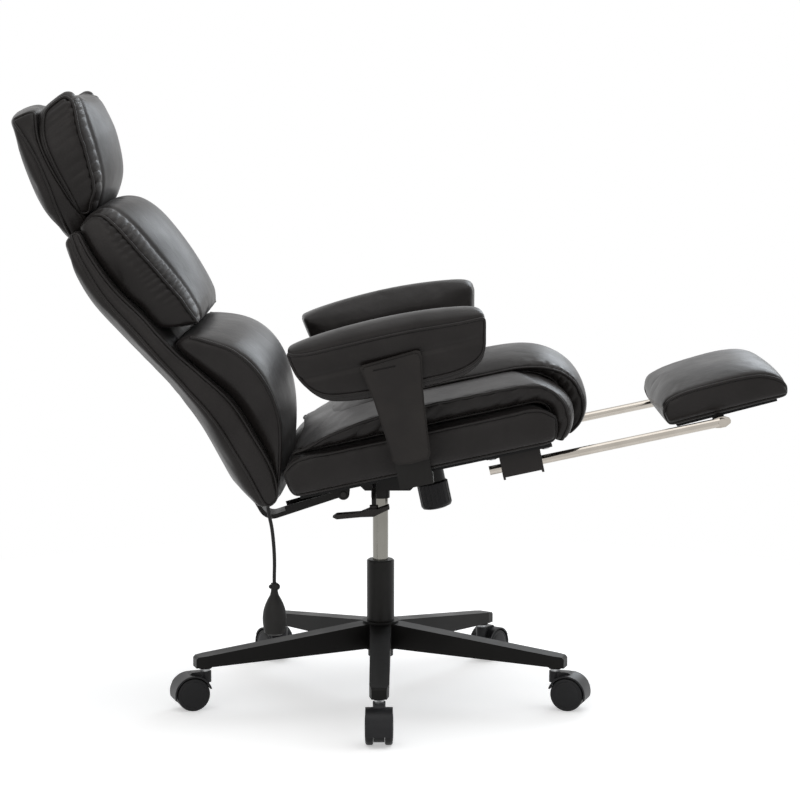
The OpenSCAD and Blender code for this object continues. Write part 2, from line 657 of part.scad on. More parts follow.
// The bar from the recline pin to the back: an eye, a straight run, a round bend and a limb
bar_slope = 18.4;
limb_lean = 60;
limb_top = 165;
limb_gap = 0.4;
limb_seat_share = 0.167;
bend_r = 23;
bend_steps = 8;
limb_near = 9;
function along(p, a, d) = [p[0] + d * cos(a), p[1] + d * sin(a)];
function cross_point(p, a, q, b) = along(p, a, ((q[0] - p[0]) * sin(b) - (q[1] - p[1]) * cos(b))
    / sin(b - a));
limb_start = from_back(limb_top, back_depth * limb_seat_share - limb_gap - bar_t / 2);
eye = [-recline_x, recline_z];
corner = cross_point(eye, 180 + bar_slope, limb_start, -limb_lean);
bend_turn = bar_slope + limb_lean;
bend_cut = bend_r * tan(bend_turn / 2);
bend_centre = along(along(corner, bar_slope, bend_cut), bar_slope + 90, bend_r);
function bar_line(off) = [along(eye, bar_slope - 90, off),
    for (k = [0:bend_steps]) along(bend_centre, bar_slope - 90 - bend_turn * k / bend_steps,
        bend_r + off), along(limb_start, bar_slope - 90 - bend_turn, off)];
function reverse(list) = [for (k = [len(list) - 1:-1:0]) list[k]];
hole_shares = [0.30, 0.85];
module at_limb_bolts() {
    for (k = hole_shares, s = bolt_out_shares) let(d = (limb_top * k))
        translate([limb_start[0] + d * cos(limb_lean), bar_w * s * 0.8,
            limb_start[1] - d * sin(limb_lean)]) rotate([0, limb_lean - 90, 0]) children();
}
module j_bar() {
    color(black_paint) difference() {
        union() {
            slab(bar_w) polygon(concat(bar_line(bar_t / 2), reverse(bar_line(-bar_t / 2))));
            pin_y(eye_r, bar_w, eye[0], eye[1]);
            for (s = [-1, 1]) slab(ear_t, s * (bar_w / 2 - ear_t / 2))
                polygon([along(eye, bar_slope - 90, bar_t / 2),
                    along(corner, bar_slope, bend_cut * 2), along(along(corner, bar_slope,
                    bend_cut * 2), bar_slope + 90, bar_t * 1.5), along(eye, bar_slope + 90, bar_t)]);
        }
        pin_y(pin_r + run_gap, bar_w + 2 * over, eye[0], eye[1]);
        at_limb_bolts() rotate([0, 90, 0]) translate([0, 0, -bar_t])
            cylinder(r = screw_r + run_gap, h = 2 * bar_t);
    }
}
module recline_pin() {
    color("silver") pin_y(pin_r, bar_w + 4 * ear_t, eye[0], eye[1]);
}
module bolt(shank) {
    translate([0, 0, -head_h]) cylinder(r = head_r, h = head_h, $fn = 6);
    cylinder(r = screw_r, h = shank);
}
module back_bolts() {
    color("gray") at_limb_bolts() rotate([0, 90, 0]) translate([0, 0, -bar_t / 2]) bolt(bar_t);
}
module seat_bolts() {
    color("gray") in_seat() {
        at_plate_bolts() translate([0, 0, plate_floor]) bolt(plate_t + board_t / 2);
        for (s = [-1, 1]) {
            at_bracket_bolts(s) translate([0, 0, seat_floor - bracket_t])
                bolt(bracket_t + board_t / 2);
            at_guide_bolts(s) translate([0, 0, guide_flange_low])
                bolt(seat_floor - guide_flange_low + board_t / 2);
        }
    }
}

// Seat: plywood board and three leather layers
module seat_board_solid(grow = 0, down = 0) {
    half = seat_w / 2 - board_inset + grow;
    translate([-seat_len * 0.27 - grow, -half, seat_floor - down])
        cube([seat_len * 0.90 + 2 * grow, 2 * half, board_t + grow + down]);
}
module seat_board() {
    color("burlywood") in_seat() difference() {
        seat_board_solid();
        at_plate_bolts() translate([0, 0, seat_floor - over])
            cylinder(r = screw_r + run_gap, h = board_t / 2 + 2 * over);
        for (s = [-1, 1]) {
            at_bracket_bolts(s) translate([0, 0, seat_floor - over])
                cylinder(r = screw_r + run_gap, h = board_t / 2 + 2 * over);
            at_guide_bolts(s) translate([0, 0, seat_floor - over])
                cylinder(r = screw_r + run_gap, h = board_t / 2 + 2 * over);
        }
    }
}
module seat_base_cushion() {
    color(leather) in_seat() difference() {
        pillow([for (r = base_shares) seat_row(r)], seat_w / 2, flat_power = 9,
            crown_power = 8, draw = seat_w * 0.006);
        seat_board_solid(soft_gap, base_t / 4);
    }
}
module seat_middle_cushion() {
    color(leather) in_seat() pillow([for (r = middle_shares) seat_row(r)],
        seat_w / 2, flat_power = 9, crown_power = 4, draw = seat_w * 0.01, steps = 18);
}
module seat_centre_cushion() {
    color(leather) in_seat() pillow([for (r = centre_shares) seat_row(r)], centre_w / 2,
        flat_power = 8, crown_power = 3.2, draw = centre_w * 0.02, steps = 18);
}

// Arms: padded arm, plastic post on its outer face, steel bracket under the seat
arm_back = -97;
arm_low = 187;
post_round = 4;
post_low = 66;
bracket_t = 5;
bracket_w = 58;
bracket_u = 43;
bracket_under = 65;
bracket_in = seat_w / 2 - bracket_under;
slot_t = 3;
// The post's outline: its corners along the seat and their heights, as shares of its own size
post_h = 182;
post_u = 20;
post_w = 105;
post_shares = [[0.00, 0.975], [0.05, 1.00], [0.93, 1.035], [0.99, 1.02], [1.00, 0.97],
    [0.915, 0.66], [0.89, 0.55], [0.815, 0.075], [0.77, 0.03], [0.49, 0.015], [0.27, 0.03],
    [0.20, 0.07], [0.19, 0.18], [0.15, 0.40], [0.105, 0.66]];
module at_bracket_bolts(s) {
    for (k = bolt_out_shares) translate([bracket_u + bracket_w / 2 + bracket_w * k * 0.8,
        s * (bracket_in + 3 * screw_r), 0]) children();
}
module arm_pad(s) {
    color(leather) in_seat() translate([0, s * (arm_out - arm_w / 2), 0])
        pillow([for (r = arm_shares) [arm_back + arm_len * r[0], arm_low + arm_t * r[1],
            arm_back + arm_len * r[2], arm_low + arm_t * r[3], r[4]]], arm_w / 2,
            flat_power = 5, crown_power = 3.4, steps = 16);
}
module arm_post(s) {
    face = arm_out + soft_gap;
    color(black_plastic) in_seat() difference() {
        union() {
            slab(post_t - post_round, s * (face + (post_t - post_round) / 2))
                polygon([for (p = post_shares) [post_u + post_w * p[0], post_low + post_h * p[1]]]);
            slab(post_t, s * (face + post_t / 2)) polygon([for (p = post_shares)
                [post_u + post_w / 2 + (post_w - 2 * post_round) * (p[0] - 0.5),
                post_low + post_h / 2 + (post_h - 2 * post_round) * (p[1] - 0.5)]]);
        }
        translate([post_u + post_w * 0.20, s * (face + post_t) - slot_t,
            post_low + post_h * 0.93]) cube([post_w * 0.36, 2 * slot_t, slot_t]);
        translate([bracket_u - soft_gap, s * (face + bracket_t / 2) - bracket_t / 2 - soft_gap,
            post_low - over]) cube([bracket_w + 2 * soft_gap, bracket_t + 2 * soft_gap,
            post_h * 0.3 + over]);
    }
}
module arm_bracket(s) {
    face = arm_out + soft_gap;
    color(black_paint) in_seat() difference() {
        union() {
            translate([bracket_u, s > 0 ? bracket_in : -face - bracket_t, seat_floor - bracket_t])
                cube([bracket_w, face + bracket_t - bracket_in, bracket_t]);
            translate([bracket_u, s > 0 ? face : -face - bracket_t, seat_floor - bracket_t])
                cube([bracket_w, bracket_t, post_low + post_h * 0.28 - seat_floor]);
        }
        at_bracket_bolts(s) translate([0, 0, seat_floor - bracket_t - over])
            cylinder(r = screw_r + run_gap, h = bracket_t + 2 * over);
    }
}

// Footrest: two guide blocks under the seat, two rails, a pivot rod and the pad
rail_v = 6;
rail_back = 197;
guide_back = 218;
guide_len = 72;
guide_wall_in = 5;
guide_wall_out = 14;
guide_in = rail_y - rail_d / 2 - guide_wall_in;
guide_out = rail_y + rail_d / 2 + guide_wall_out;
guide_low = -8;
guide_flange_low = 28;
guide_flange = 22;
guide_foot = 4;
rail_end_r = 9.5;
rail_end_t = 6;
// The rails stay this much longer than their grip and their travel, for their stops
rail_spare = 51;
rail_len = slide_travel + guide_len + rail_spare;
pivot_r = 5;
pivot_u = rail_back + rail_len - rail_end_r - 6;
pad_back = 96;
rest_floor = 5.5;
rest_board_t = 8;
lug_t = 10;
lug_r = 10;
lug_inset = 34;
lug_y = rest_w / 2 - lug_inset;
rivet_r = 7;
rivet_h = 2;
function pivot_x() = pivot_u * cos(seat_tilt) - rail_v * sin(seat_tilt);
function pivot_z() = seat_z + pivot_u * sin(seat_tilt) + rail_v * cos(seat_tilt);
module in_rest() {
    translate([pivot_x(), 0, pivot_z()]) rotate([0, -rest_lean, 0]) children();
}
module at_guide_bolts(s) {
    for (k = [0, 1]) translate([k == 0 ? guide_back - guide_flange / 2
        : guide_back + guide_len + guide_flange / 2, s * rail_y, 0]) children();
}
module footrest_guides() {
    color(black_plastic) in_seat() for (s = [-1, 1]) difference() {
        union() {
            translate([guide_back, s > 0 ? guide_in : -guide_out, guide_low])
                cube([guide_len, guide_out - guide_in, seat_floor - guide_low]);
            translate([guide_back - guide_flange, s > 0 ? guide_in : -guide_out,
                guide_flange_low]) cube([guide_len + 2 * guide_flange, guide_out - guide_in,
                seat_floor - guide_flange_low]);
            for (u = [guide_back, guide_back + guide_len - guide_foot]) translate([u,
                s > 0 ? guide_in : -guide_out, guide_low - guide_foot])
                cube([guide_foot, guide_out - guide_in, 2 * guide_foot]);
        }
        translate([guide_back - over, s * rail_y, rail_v]) rotate([0, 90, 0])
            cylinder(r = rail_d / 2 + run_gap, h = guide_len + 2 * over);
        at_guide_bolts(s) translate([0, 0, guide_flange_low - over])
            cylinder(r = screw_r + run_gap, h = seat_floor);
    }
}
module footrest_rails() {
    tube = rail_len - 2 * rail_end_r;
    color("#e4e2de") in_seat() for (s = [-1, 1]) difference() {
        union() {
            translate([rail_back, s * rail_y, rail_v]) rotate([0, 90, 0])
                cylinder(r = rail_d / 2, h = tube);
            slab(rail_end_t, s * rail_y) polygon([
                [rail_back + tube - rail_end_r, rail_v + rail_d / 2],
                [pivot_u - rail_end_r / 2, rail_v + rail_end_r],
                [pivot_u + rail_end_r / 2, rail_v + rail_end_r],
                [rail_back + rail_len - rail_wall, rail_v + rail_end_r / 2],
                [rail_back + rail_len, rail_v],
                [rail_back + rail_len - rail_wall, rail_v - rail_end_r / 2],
                [pivot_u + rail_end_r / 2, rail_v - rail_end_r],
                [pivot_u - rail_end_r / 2, rail_v - rail_end_r],
                [rail_back + tube - rail_end_r, rail_v - rail_d / 2]]);
        }
        translate([rail_back - over, s * rail_y, rail_v]) rotate([0, 90, 0])
            cylinder(r = rail_d / 2 - rail_wall, h = tube - 2 * rail_end_r);
        pin_y(pivot_r + run_gap, rail_d * 2, pivot_u, rail_v, s * rail_y);
    }
}
module footrest_pivot() {
    color("silver") in_seat() {
        pin_y(pivot_r, 2 * rail_y + rail_d + rivet_h, pivot_u, rail_v);
        for (s = [-1, 1]) pin_y(rivet_r, rivet_h, pivot_u, rail_v,
            s * (rail_y + rail_d / 2 + rivet_h));
    }
}
module footrest_board() {
    half = rest_w / 2 - board_inset;
    color("burlywood") in_rest() difference() {
        union() {
            translate([board_inset - pad_back, -half, rest_floor])
                cube([rest_len - 2 * board_inset, 2 * half, rest_board_t]);
            for (s = [-1, 1]) {
                pin_y(lug_r, lug_t, 0, 0, s * lug_y);
                translate([-lug_r, s * lug_y - lug_t / 2, 0])
                    cube([2 * lug_r, lug_t, rest_floor + over]);
            }
        }
        pin_y(pivot_r + run_gap, rest_w * 2, 0, 0);
    }
}
module footrest_pad() {
    half = rest_w / 2 - board_inset + soft_gap;
    color(leather) in_rest() difference() {
        translate([0, 0, rest_floor]) pillow([for (r = rest_shares)
            [rest_len * r[0] - pad_back, rest_t * r[1], rest_len * r[2] - pad_back,
            rest_t * r[3], r[4]]], rest_w / 2, flat_power = 9, crown_power = 2.8,
            draw = rest_w * 0.006);
        translate([board_inset - pad_back - soft_gap, -half, rest_floor - rest_t])
            cube([rest_len - 2 * board_inset + 2 * soft_gap, 2 * half,
            rest_t + rest_board_t + soft_gap]);
    }
}

// Back: a curved board inside a boxed shell, with the lumbar and upper cushions on its front
board_top_share = 0.90;
board_low_share = 0.06;
board_steps = 12;
board_w_share = 0.80;
board_place_share = 0.55;
function board_mid(t) = let(r = spline([for (r = shell_shares) back_row(r)], t))
    [r[0], r[1]] * (1 - board_place_share) + [r[2], r[3]] * board_place_share;
module board_band(thick, width) {
    ts = [for (k = [0:board_steps]) board_low_share + (board_top_share - board_low_share)
        * k / board_steps];
    slab(width) polygon(concat([for (t = ts) board_mid(t) + [0, thick / 2]],
        reverse([for (t = ts) board_mid(t) - [0, thick / 2]])));
}
module back_board() {
    color("burlywood") in_back() board_band(back_board_t, back_w * board_w_share);
}
module back_shell() {
    color(leather) in_back() difference() {
        pillow([for (r = shell_shares) back_row(r)], back_w / 2, flat_power = 5,
            crown_power = 7, draw = back_w * 0.012);
        board_band(back_board_t + 2 * soft_gap, back_w * board_w_share + 2 * soft_gap);
    }
}
module back_upper_cushion() {
    color(leather) in_back() pillow([for (r = upper_shares) back_row(r)], back_w / 2,
        flat_power = 6, crown_power = 2.6, draw = back_w * 0.01, groove = 0.07);
}
module lumbar_cushion() {
    color(leather) in_back() pillow([for (r = lumbar_shares) back_row(r)], back_w / 2,
        flat_power = 6, crown_power = 2.6, draw = back_w * 0.006, groove = 0.07);
}
function head_row(r) = [back_len + head_len * r[0], back_depth * r[1],
    back_len + head_len * r[2], back_depth * r[3], r[4]];
module headrest_shell() {
    color(leather) in_back() pillow([for (r = head_shell_shares) head_row(r)], head_w / 2,
        flat_power = 4, crown_power = 7, draw = head_w * 0.01);
}
module headrest_cushion() {
    color(leather) in_back() pillow([for (r = head_pillow_shares) head_row(r)], head_w / 2,
        flat_power = 6, crown_power = 2.8, draw = head_w * 0.01, groove = 0.05);
}

// Lumbar pump: a hose that hangs from the back's lower edge, a valve and a rubber bulb.
// The hose's route is a list of places chosen by hand.
hose_y = -150;
hose_route = [[-198, 386.4], [-197.5, 374], [-195, 358], [-191, 338], [-188.5, 316],
    [-187, 294], [-186.5, 272], [-187, 250], [-187, 238]];
hose_rings = 26;
valve_r = 6.2;
valve_out = 4;
lobe_r = 4;
bulb_top = 225;
bulb_h = 80;
neck_r = 6;
// The hose's upper end is a round nose, which can swing in the seam that it hangs from
nose_turns = [30, 60];
module pump_hose() {
    sides = 8;
    r = hose_d / 2;
    rings = [for (b = nose_turns) [hose_route[0] + [0, r * cos(b)], [0, -1], r * sin(b)],
        for (k = [0:hose_rings]) let(t = k / hose_rings, p = spline(hose_route, t),
        e = spline(hose_route, min(t + 0.01, 1)) - spline(hose_route, max(t - 0.01, 0)))
        [p, (k == 0 || k == hose_rings) ? [0, -1] : e / norm(e), r]];
    points = [for (g = rings, j = [0:sides - 1]) let(a = 360 * j / sides)
        [g[0][0] - g[1][1] * g[2] * cos(a), hose_y + g[2] * sin(a),
        g[0][1] + g[1][0] * g[2] * cos(a)]];
    last = (len(rings) - 1) * sides;
    color("#1c1c1c") polyhedron(points, [for (k = [0:len(rings) - 2], j = [0:sides - 1])
        let(a = k * sides + j, b = k * sides + (j + 1) % sides)
        each [[a, a + sides, b], [b, a + sides, b + sides]],
        for (j = [1:sides - 2]) each [[0, j, j + 1], [last, last + j + 1, last + j]]]);
}
module pump_valve() {
    end = hose_route[len(hose_route) - 1];
    mid = (end[1] + bulb_top) / 2;
    color("#1c1c1c") union() {
        translate([end[0], hose_y, bulb_top]) cylinder(r = neck_r, h = end[1] - bulb_top);
        translate([end[0] + valve_out, hose_y, mid]) sphere(r = valve_r);
        translate([end[0] - neck_r, hose_y, mid]) sphere(r = lobe_r);
    }
}
module pump_bulb() {
    end = hose_route[len(hose_route) - 1];
    r = bulb_d / 2;
    color("#262624") translate([end[0], hose_y, bulb_top - bulb_h]) rotate_extrude() polygon([
        [0, 0], [r * 0.55, 0], for (k = [0:8]) let(t = k / 8)
        [r * (0.62 + 0.38 * sin(30 + 105 * t)) * (1 - 0.62 * pow(t, 3)), bulb_h * (0.05 + 0.85 * t)],
        [neck_r, bulb_h], [0, bulb_h]]);
}

base_star();
caster_hood(1);  // caster_hood_1
caster_hood(2);  // caster_hood_2
caster_hood(3);  // caster_hood_3
caster_hood(4);  // caster_hood_4
caster_hood(5);  // caster_hood_5
caster_pins(1);  // caster_pins_1
caster_pins(2);  // caster_pins_2
caster_pins(3);  // caster_pins_3
caster_pins(4);  // caster_pins_4
caster_pins(5);  // caster_pins_5
caster_wheels(1);  // caster_wheels_1
caster_wheels(2);  // caster_wheels_2
caster_wheels(3);  // caster_wheels_3
caster_wheels(4);  // caster_wheels_4
caster_wheels(5);  // caster_wheels_5
gas_column();
column_bush();
gas_rod();
thrust_bearing();
gas_cylinder();
gas_button();
mech_housing();
tilt_pin();
mech_plate();
tension_spring();
tension_bolt();
tension_knob();
lever_rod();
lever_paddle();
j_bar();
recline_pin();
seat_bolts();
back_bolts();
seat_board();
seat_base_cushion();
seat_middle_cushion();
seat_centre_cushion();
arm_pad(-1);  // arm_pad_right
arm_pad(1);  // arm_pad_left
arm_post(-1);  // arm_post_right
arm_post(1);  // arm_post_left
arm_bracket(-1);  // arm_bracket_right
arm_bracket(1);  // arm_bracket_left
footrest_guides();
footrest_rails();
footrest_pivot();
footrest_board();
footrest_pad();
back_board();
back_shell();
back_upper_cushion();
lumbar_cushion();
headrest_shell();
headrest_cushion();
pump_hose();
pump_valve();
pump_bulb();
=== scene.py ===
"""A reclining office chair with a slide-out footrest, dressed in black leather.

Lengths are in millimetres where a shape is worked out and in metres in the meshes.
"""
import json
import math

import bmesh
import bpy
import numpy as np
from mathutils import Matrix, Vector
from mathutils.bvhtree import BVHTree


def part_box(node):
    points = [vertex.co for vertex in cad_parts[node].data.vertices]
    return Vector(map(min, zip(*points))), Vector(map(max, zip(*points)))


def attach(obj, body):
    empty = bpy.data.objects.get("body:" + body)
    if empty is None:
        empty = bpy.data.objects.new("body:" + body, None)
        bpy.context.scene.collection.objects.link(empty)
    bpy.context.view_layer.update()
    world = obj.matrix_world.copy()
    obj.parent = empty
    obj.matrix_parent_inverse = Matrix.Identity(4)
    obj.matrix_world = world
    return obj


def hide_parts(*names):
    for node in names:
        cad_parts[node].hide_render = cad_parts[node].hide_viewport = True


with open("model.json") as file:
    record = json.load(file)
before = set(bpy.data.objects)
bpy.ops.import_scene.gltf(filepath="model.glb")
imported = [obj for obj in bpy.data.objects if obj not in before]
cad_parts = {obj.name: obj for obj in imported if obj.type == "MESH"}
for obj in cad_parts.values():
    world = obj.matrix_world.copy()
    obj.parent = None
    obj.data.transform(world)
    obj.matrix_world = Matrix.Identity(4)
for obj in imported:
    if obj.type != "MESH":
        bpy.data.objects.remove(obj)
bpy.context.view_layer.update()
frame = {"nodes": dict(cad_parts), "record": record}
NODES = frame["nodes"]
SCENE = bpy.context.scene


# ---------------------------------------------------------------- camera and light
CAMERA_PLACE = (0.0356, -4.5, 1.110)
CAMERA_TILT = math.radians(82.855)
CAMERA_LENS = 112.4


def set_camera():
    """The photograph's place: almost level with the seat, four and a half metres away."""
    data = bpy.data.cameras.new("photo_camera")
    data.lens = CAMERA_LENS
    data.sensor_width = 36
    camera = bpy.data.objects.new("photo_camera", data)
    camera.location = CAMERA_PLACE
    camera.rotation_euler = (CAMERA_TILT, 0, 0)
    SCENE.collection.objects.link(camera)
    SCENE.camera = camera


def softbox(name, place, aim, size, power, colour=(1, 1, 1), seen=True):
    """A rectangular lamp at a place, turned to face a point. Unseen, it hides from the camera."""
    data = bpy.data.lights.new(name, "AREA")
    data.shape = "RECTANGLE"
    data.size, data.size_y = size
    data.energy = power
    data.color = colour
    lamp = bpy.data.objects.new(name, data)
    lamp.location = place
    lamp.rotation_euler = (Vector(aim) - Vector(place)).to_track_quat("-Z", "Y").to_euler()
    lamp.visible_camera = seen
    SCENE.collection.objects.link(lamp)


def set_lights():
    """A lamp over the chair, one before its front, one by the camera and a cool backdrop."""
    softbox("overhead", (0.2, -0.3, 3.2), (0.1, 0, 0.5), (2.6, 2.6), 22)
    softbox("front_side", (3.0, 0.4, 2.0), (0, 0, 0.6), (1.6, 2.2), 12, (0.90, 0.96, 1.0))
    softbox("camera_fill", (-1.6, -3.6, 1.9), (0, 0, 0.5), (2.4, 1.8), 16, (1.0, 0.97, 0.93))
    softbox("backdrop", (1.75, 3.5, 2.5), (-0.4, 0, 0.8), (1.8, 1.8), 37, (0.86, 0.93, 1.0), False)


# ---------------------------------------------------------------- materials
# Sizes of the drawn textures, in metres.
LEATHER_GRAIN, LEATHER_PUCKER, LEATHER_SWELL = 0.0024, 0.016, 0.085
PLASTIC_DRIFT = 0.06
PAINT_PEEL, PAINT_DRIFT = 0.0022, 0.09
METAL_CLOUD = 0.05
METAL_STRETCH = 40


def tone(code):
    """An sRGB hex colour as linear values."""
    channels = [int(code[i:i + 2], 16) / 255 for i in (1, 3, 5)]
    return [c / 12.92 if c <= 0.04045 else ((c + 0.055) / 1.055) ** 2.4
            for c in channels] + [1.0]


def add(tree, kind, settings=None, links=None):
    """Adds a node, sets its properties and sockets, and links sockets to others' outputs."""
    node = tree.nodes.new(kind)
    for key, value in (settings or {}).items():
        if isinstance(key, str) and hasattr(node, key) and key not in node.inputs:
            setattr(node, key, value)
        else:
            node.inputs[key].default_value = value
    for key, source in (links or {}).items():
        tree.links.new(source, node.inputs[key])
    return node


def new_finish(name):
    """An empty node material with its output, and the tree."""
    finish = bpy.data.materials.new(name)
    finish.use_nodes = True
    tree = finish.node_tree
    tree.nodes.clear()
    return finish, tree


def place_output(tree):
    return add(tree, "ShaderNodeTexCoord").outputs["Object"]


def finished(tree, settings, links):
    """Closes a tree with one principled shader, whose constants sit on its own sockets."""
    body = add(tree, "ShaderNodeBsdfPrincipled", settings, links)
    add(tree, "ShaderNodeOutputMaterial", {}, {"Surface": body.outputs[0]})
    return body


def mixed(tree, factor, low, high):
    """A colour between two, by a factor."""
    mix = add(tree, "ShaderNodeMix", {"data_type": "RGBA"})
    mix.inputs[6].default_value = low
    mix.inputs[7].default_value = high
    tree.links.new(factor, mix.inputs[0])
    return mix.outputs[2]


def ranged(tree, value, low, high, to_low, to_high):
    """A value stretched from one range to another."""
    return add(tree, "ShaderNodeMapRange", {1: low, 2: high, 3: to_low, 4: to_high},
               {0: value}).outputs[0]


def leather_finish(name, deep, worn, rough=0.40, crease=1.0):
    """Bonded leather, pressed with a pebbled grain and wiped with a satin top coat: a close
    small grain, slow swells of tone where hands and backs rub it, and a broad soft shine.
    The real grain is about 1 mm; it is drawn at 2.4 mm so that it shows."""
    finish, tree = new_finish(name)
    place = place_output(tree)
    grain = add(tree, "ShaderNodeTexVoronoi", {"Scale": 1 / LEATHER_GRAIN, "feature": "SMOOTH_F1",
                                               "Smoothness": 0.35}, {"Vector": place})
    swell = add(tree, "ShaderNodeTexNoise", {"Scale": 1 / LEATHER_SWELL, "Detail": 3.0,
                                             "Roughness": 0.55}, {"Vector": place})
    pucker = add(tree, "ShaderNodeTexNoise", {"Scale": 1 / LEATHER_PUCKER, "Detail": 4.0,
                                              "Roughness": 0.5, "Distortion": 0.6},
                 {"Vector": place})
    colour = mixed(tree, ranged(tree, swell.outputs[0], 0.35, 0.68, 0, 1), tone(deep), tone(worn))
    gloss = ranged(tree, swell.outputs[0], 0.3, 0.7, rough + 0.06, rough - 0.05)
    soft = add(tree, "ShaderNodeBump", {"Strength": 0.35 * crease, "Distance": 0.0012},
               {"Height": pucker.outputs[0]})
    close = add(tree, "ShaderNodeBump", {"Strength": 0.22, "Distance": 0.00035},
                {"Height": grain.outputs[0], "Normal": soft.outputs[0]})
    finished(tree, {"IOR": 1.45, "Specular IOR Level": 0.25, "Sheen Weight": 0.03,
                    "Sheen Roughness": 0.5},
             {"Base Color": colour, "Roughness": gloss, "Normal": close.outputs[0]})
    return finish


def plastic_finish(name, deep, pale, rough, grit=0.0012):
    """Glass-filled nylon from a spark-eroded mould: a fine even grit that spreads the light,
    and slightly paler where it has been handled. The grit is drawn at about 1 mm."""
    finish, tree = new_finish(name)
    place = place_output(tree)
    grain = add(tree, "ShaderNodeTexNoise", {"Scale": 1 / grit, "Detail": 2.0}, {"Vector": place})
    drift = add(tree, "ShaderNodeTexNoise", {"Scale": 1 / PLASTIC_DRIFT, "Detail": 3.0},
                {"Vector": place})
    colour = mixed(tree, ranged(tree, drift.outputs[0], 0.35, 0.7, 0, 1), tone(deep), tone(pale))
    gloss = ranged(tree, drift.outputs[0], 0.3, 0.7, rough - 0.04, rough + 0.06)
    bump = add(tree, "ShaderNodeBump", {"Strength": 0.18, "Distance": 0.0003},
               {"Height": grain.outputs[0]})
    finished(tree, {"IOR": 1.46, "Specular IOR Level": 0.24},
             {"Base Color": colour, "Roughness": gloss, "Normal": bump.outputs[0]})
    return finish


def paint_finish(name, deep, pale, rough=0.38):
    """Powder coat baked on steel: an orange-peel skin of about 2 mm, satin, with a little
    dust tone in the flats."""
    finish, tree = new_finish(name)
    place = place_output(tree)
    peel = add(tree, "ShaderNodeTexNoise", {"Scale": 1 / PAINT_PEEL, "Detail": 1.5},
               {"Vector": place})
    drift = add(tree, "ShaderNodeTexNoise", {"Scale": 1 / PAINT_DRIFT, "Detail": 4.0},
                {"Vector": place})
    colour = mixed(tree, ranged(tree, drift.outputs[0], 0.35, 0.7, 0, 1), tone(deep), tone(pale))
    gloss = ranged(tree, drift.outputs[0], 0.3, 0.7, rough - 0.05, rough + 0.07)
    bump = add(tree, "ShaderNodeBump", {"Strength": 0.16, "Distance": 0.0005},
               {"Height": peel.outputs[0]})
    finished(tree, {"IOR": 1.5, "Specular IOR Level": 0.14},
             {"Base Color": colour, "Roughness": gloss, "Normal": bump.outputs[0]})
    return finish


def metal_finish(name, deep, pale, rough, streak, axis):
    """Drawn or ground steel, bare or plated: bright, with fine marks along the way it was
    worked, stretched forty times along that axis, and a faint cloud of handling."""
    finish, tree = new_finish(name)
    place = place_output(tree)
    stretch = [1 / streak] * 3
    stretch[axis] = 1 / (streak * METAL_STRETCH)
    lie = add(tree, "ShaderNodeMapping", {"Scale": stretch}, {"Vector": place})
    marks = add(tree, "ShaderNodeTexNoise", {"Scale": 1.0, "Detail": 2.0},
                {"Vector": lie.outputs[0]})
    cloud = add(tree, "ShaderNodeTexNoise", {"Scale": 1 / METAL_CLOUD, "Detail": 3.0},
                {"Vector": place})
    colour = mixed(tree, cloud.outputs[0], tone(deep), tone(pale))
    gloss = ranged(tree, marks.outputs[0], 0.3, 0.7, rough * 0.8, rough * 1.25)
    bump = add(tree, "ShaderNodeBump", {"Strength": 0.08, "Distance": 0.0002},
               {"Height": marks.outputs[0]})
    finished(tree, {"Metallic": 1.0},
             {"Base Color": colour, "Roughness": gloss, "Normal": bump.outputs[0]})
    return finish


def ply_finish(name):
    """Rotary-cut birch ply: flat waves of grain about 9 mm apart, dry and matt."""
    finish, tree = new_finish(name)
    place = place_output(tree)
    lie = add(tree, "ShaderNodeMapping", {"Scale": (14, 110, 110)}, {"Vector": place})
    waves = add(tree, "ShaderNodeTexNoise", {"Scale": 1.0, "Detail": 4.0, "Distortion": 0.8},
                {"Vector": lie.outputs[0]})
    colour = mixed(tree, ranged(tree, waves.outputs[0], 0.3, 0.7, 0, 1),
                   tone("#a98358"), tone("#c9a679"))
    bump = add(tree, "ShaderNodeBump", {"Strength": 0.2, "Distance": 0.0003},
               {"Height": waves.outputs[0]})
    finished(tree, {"IOR": 1.5, "Roughness": 0.62},
             {"Base Color": colour, "Normal": bump.outputs[0]})
    return finish


# ---------------------------------------------------------------- places and curves
class Place:
    """A flat frame that pieces are drawn in: x runs along `along`, z along `up`, in the
    chair's own x and z, from an origin in millimetres; y is the chair's own."""

    def __init__(self, origin, along, up):
        self.origin = np.array([origin[0], 0, origin[1]], float)
        self.turn = np.array([[along[0], 0, along[1]], [0, 1, 0], [up[0], 0, up[1]]])

    def out(self, points):
        """Local millimetres to the chair's metres."""
        return (np.asarray(points) @ self.turn + self.origin) / 1000

    def back(self, points):
        """The chair's metres to local millimetres."""
        return (np.asarray(points) * 1000 - self.origin) @ self.turn.T


def leaning(degrees):
    """The two directions of a frame that leans back by an angle."""
    a = math.radians(degrees)
    return (math.cos(a), math.sin(a)), (-math.sin(a), math.cos(a))


SEAT_LEAN, REST_LEAN = 12, 14.5
BACK_RISE = math.radians(54)
SEAT = Place((0, 400), *leaning(SEAT_LEAN))
BACK = Place((-230, 350), (-math.cos(BACK_RISE), math.sin(BACK_RISE)),
             (math.sin(BACK_RISE), math.cos(BACK_RISE)))
REST = Place((594.933, 532.591), *leaning(REST_LEAN))


def curve(rows, t):
    """A smooth curve through the rows of a table (Catmull-Rom) at shares t of its run."""
    rows = np.asarray(rows, float)
    last = len(rows) - 1
    i = np.minimum(np.floor(t * last).astype(int), last - 1)
    f = (t * last - i)[:, None]
    a, b = rows[np.maximum(i - 1, 0)], rows[i]
    c, d = rows[i + 1], rows[np.minimum(i + 2, last)]
    return 0.5 * (2 * b + (c - a) * f + (2 * a - 5 * b + 4 * c - d) * f ** 2
                  + (3 * b - a - 3 * c + d) * f ** 3)


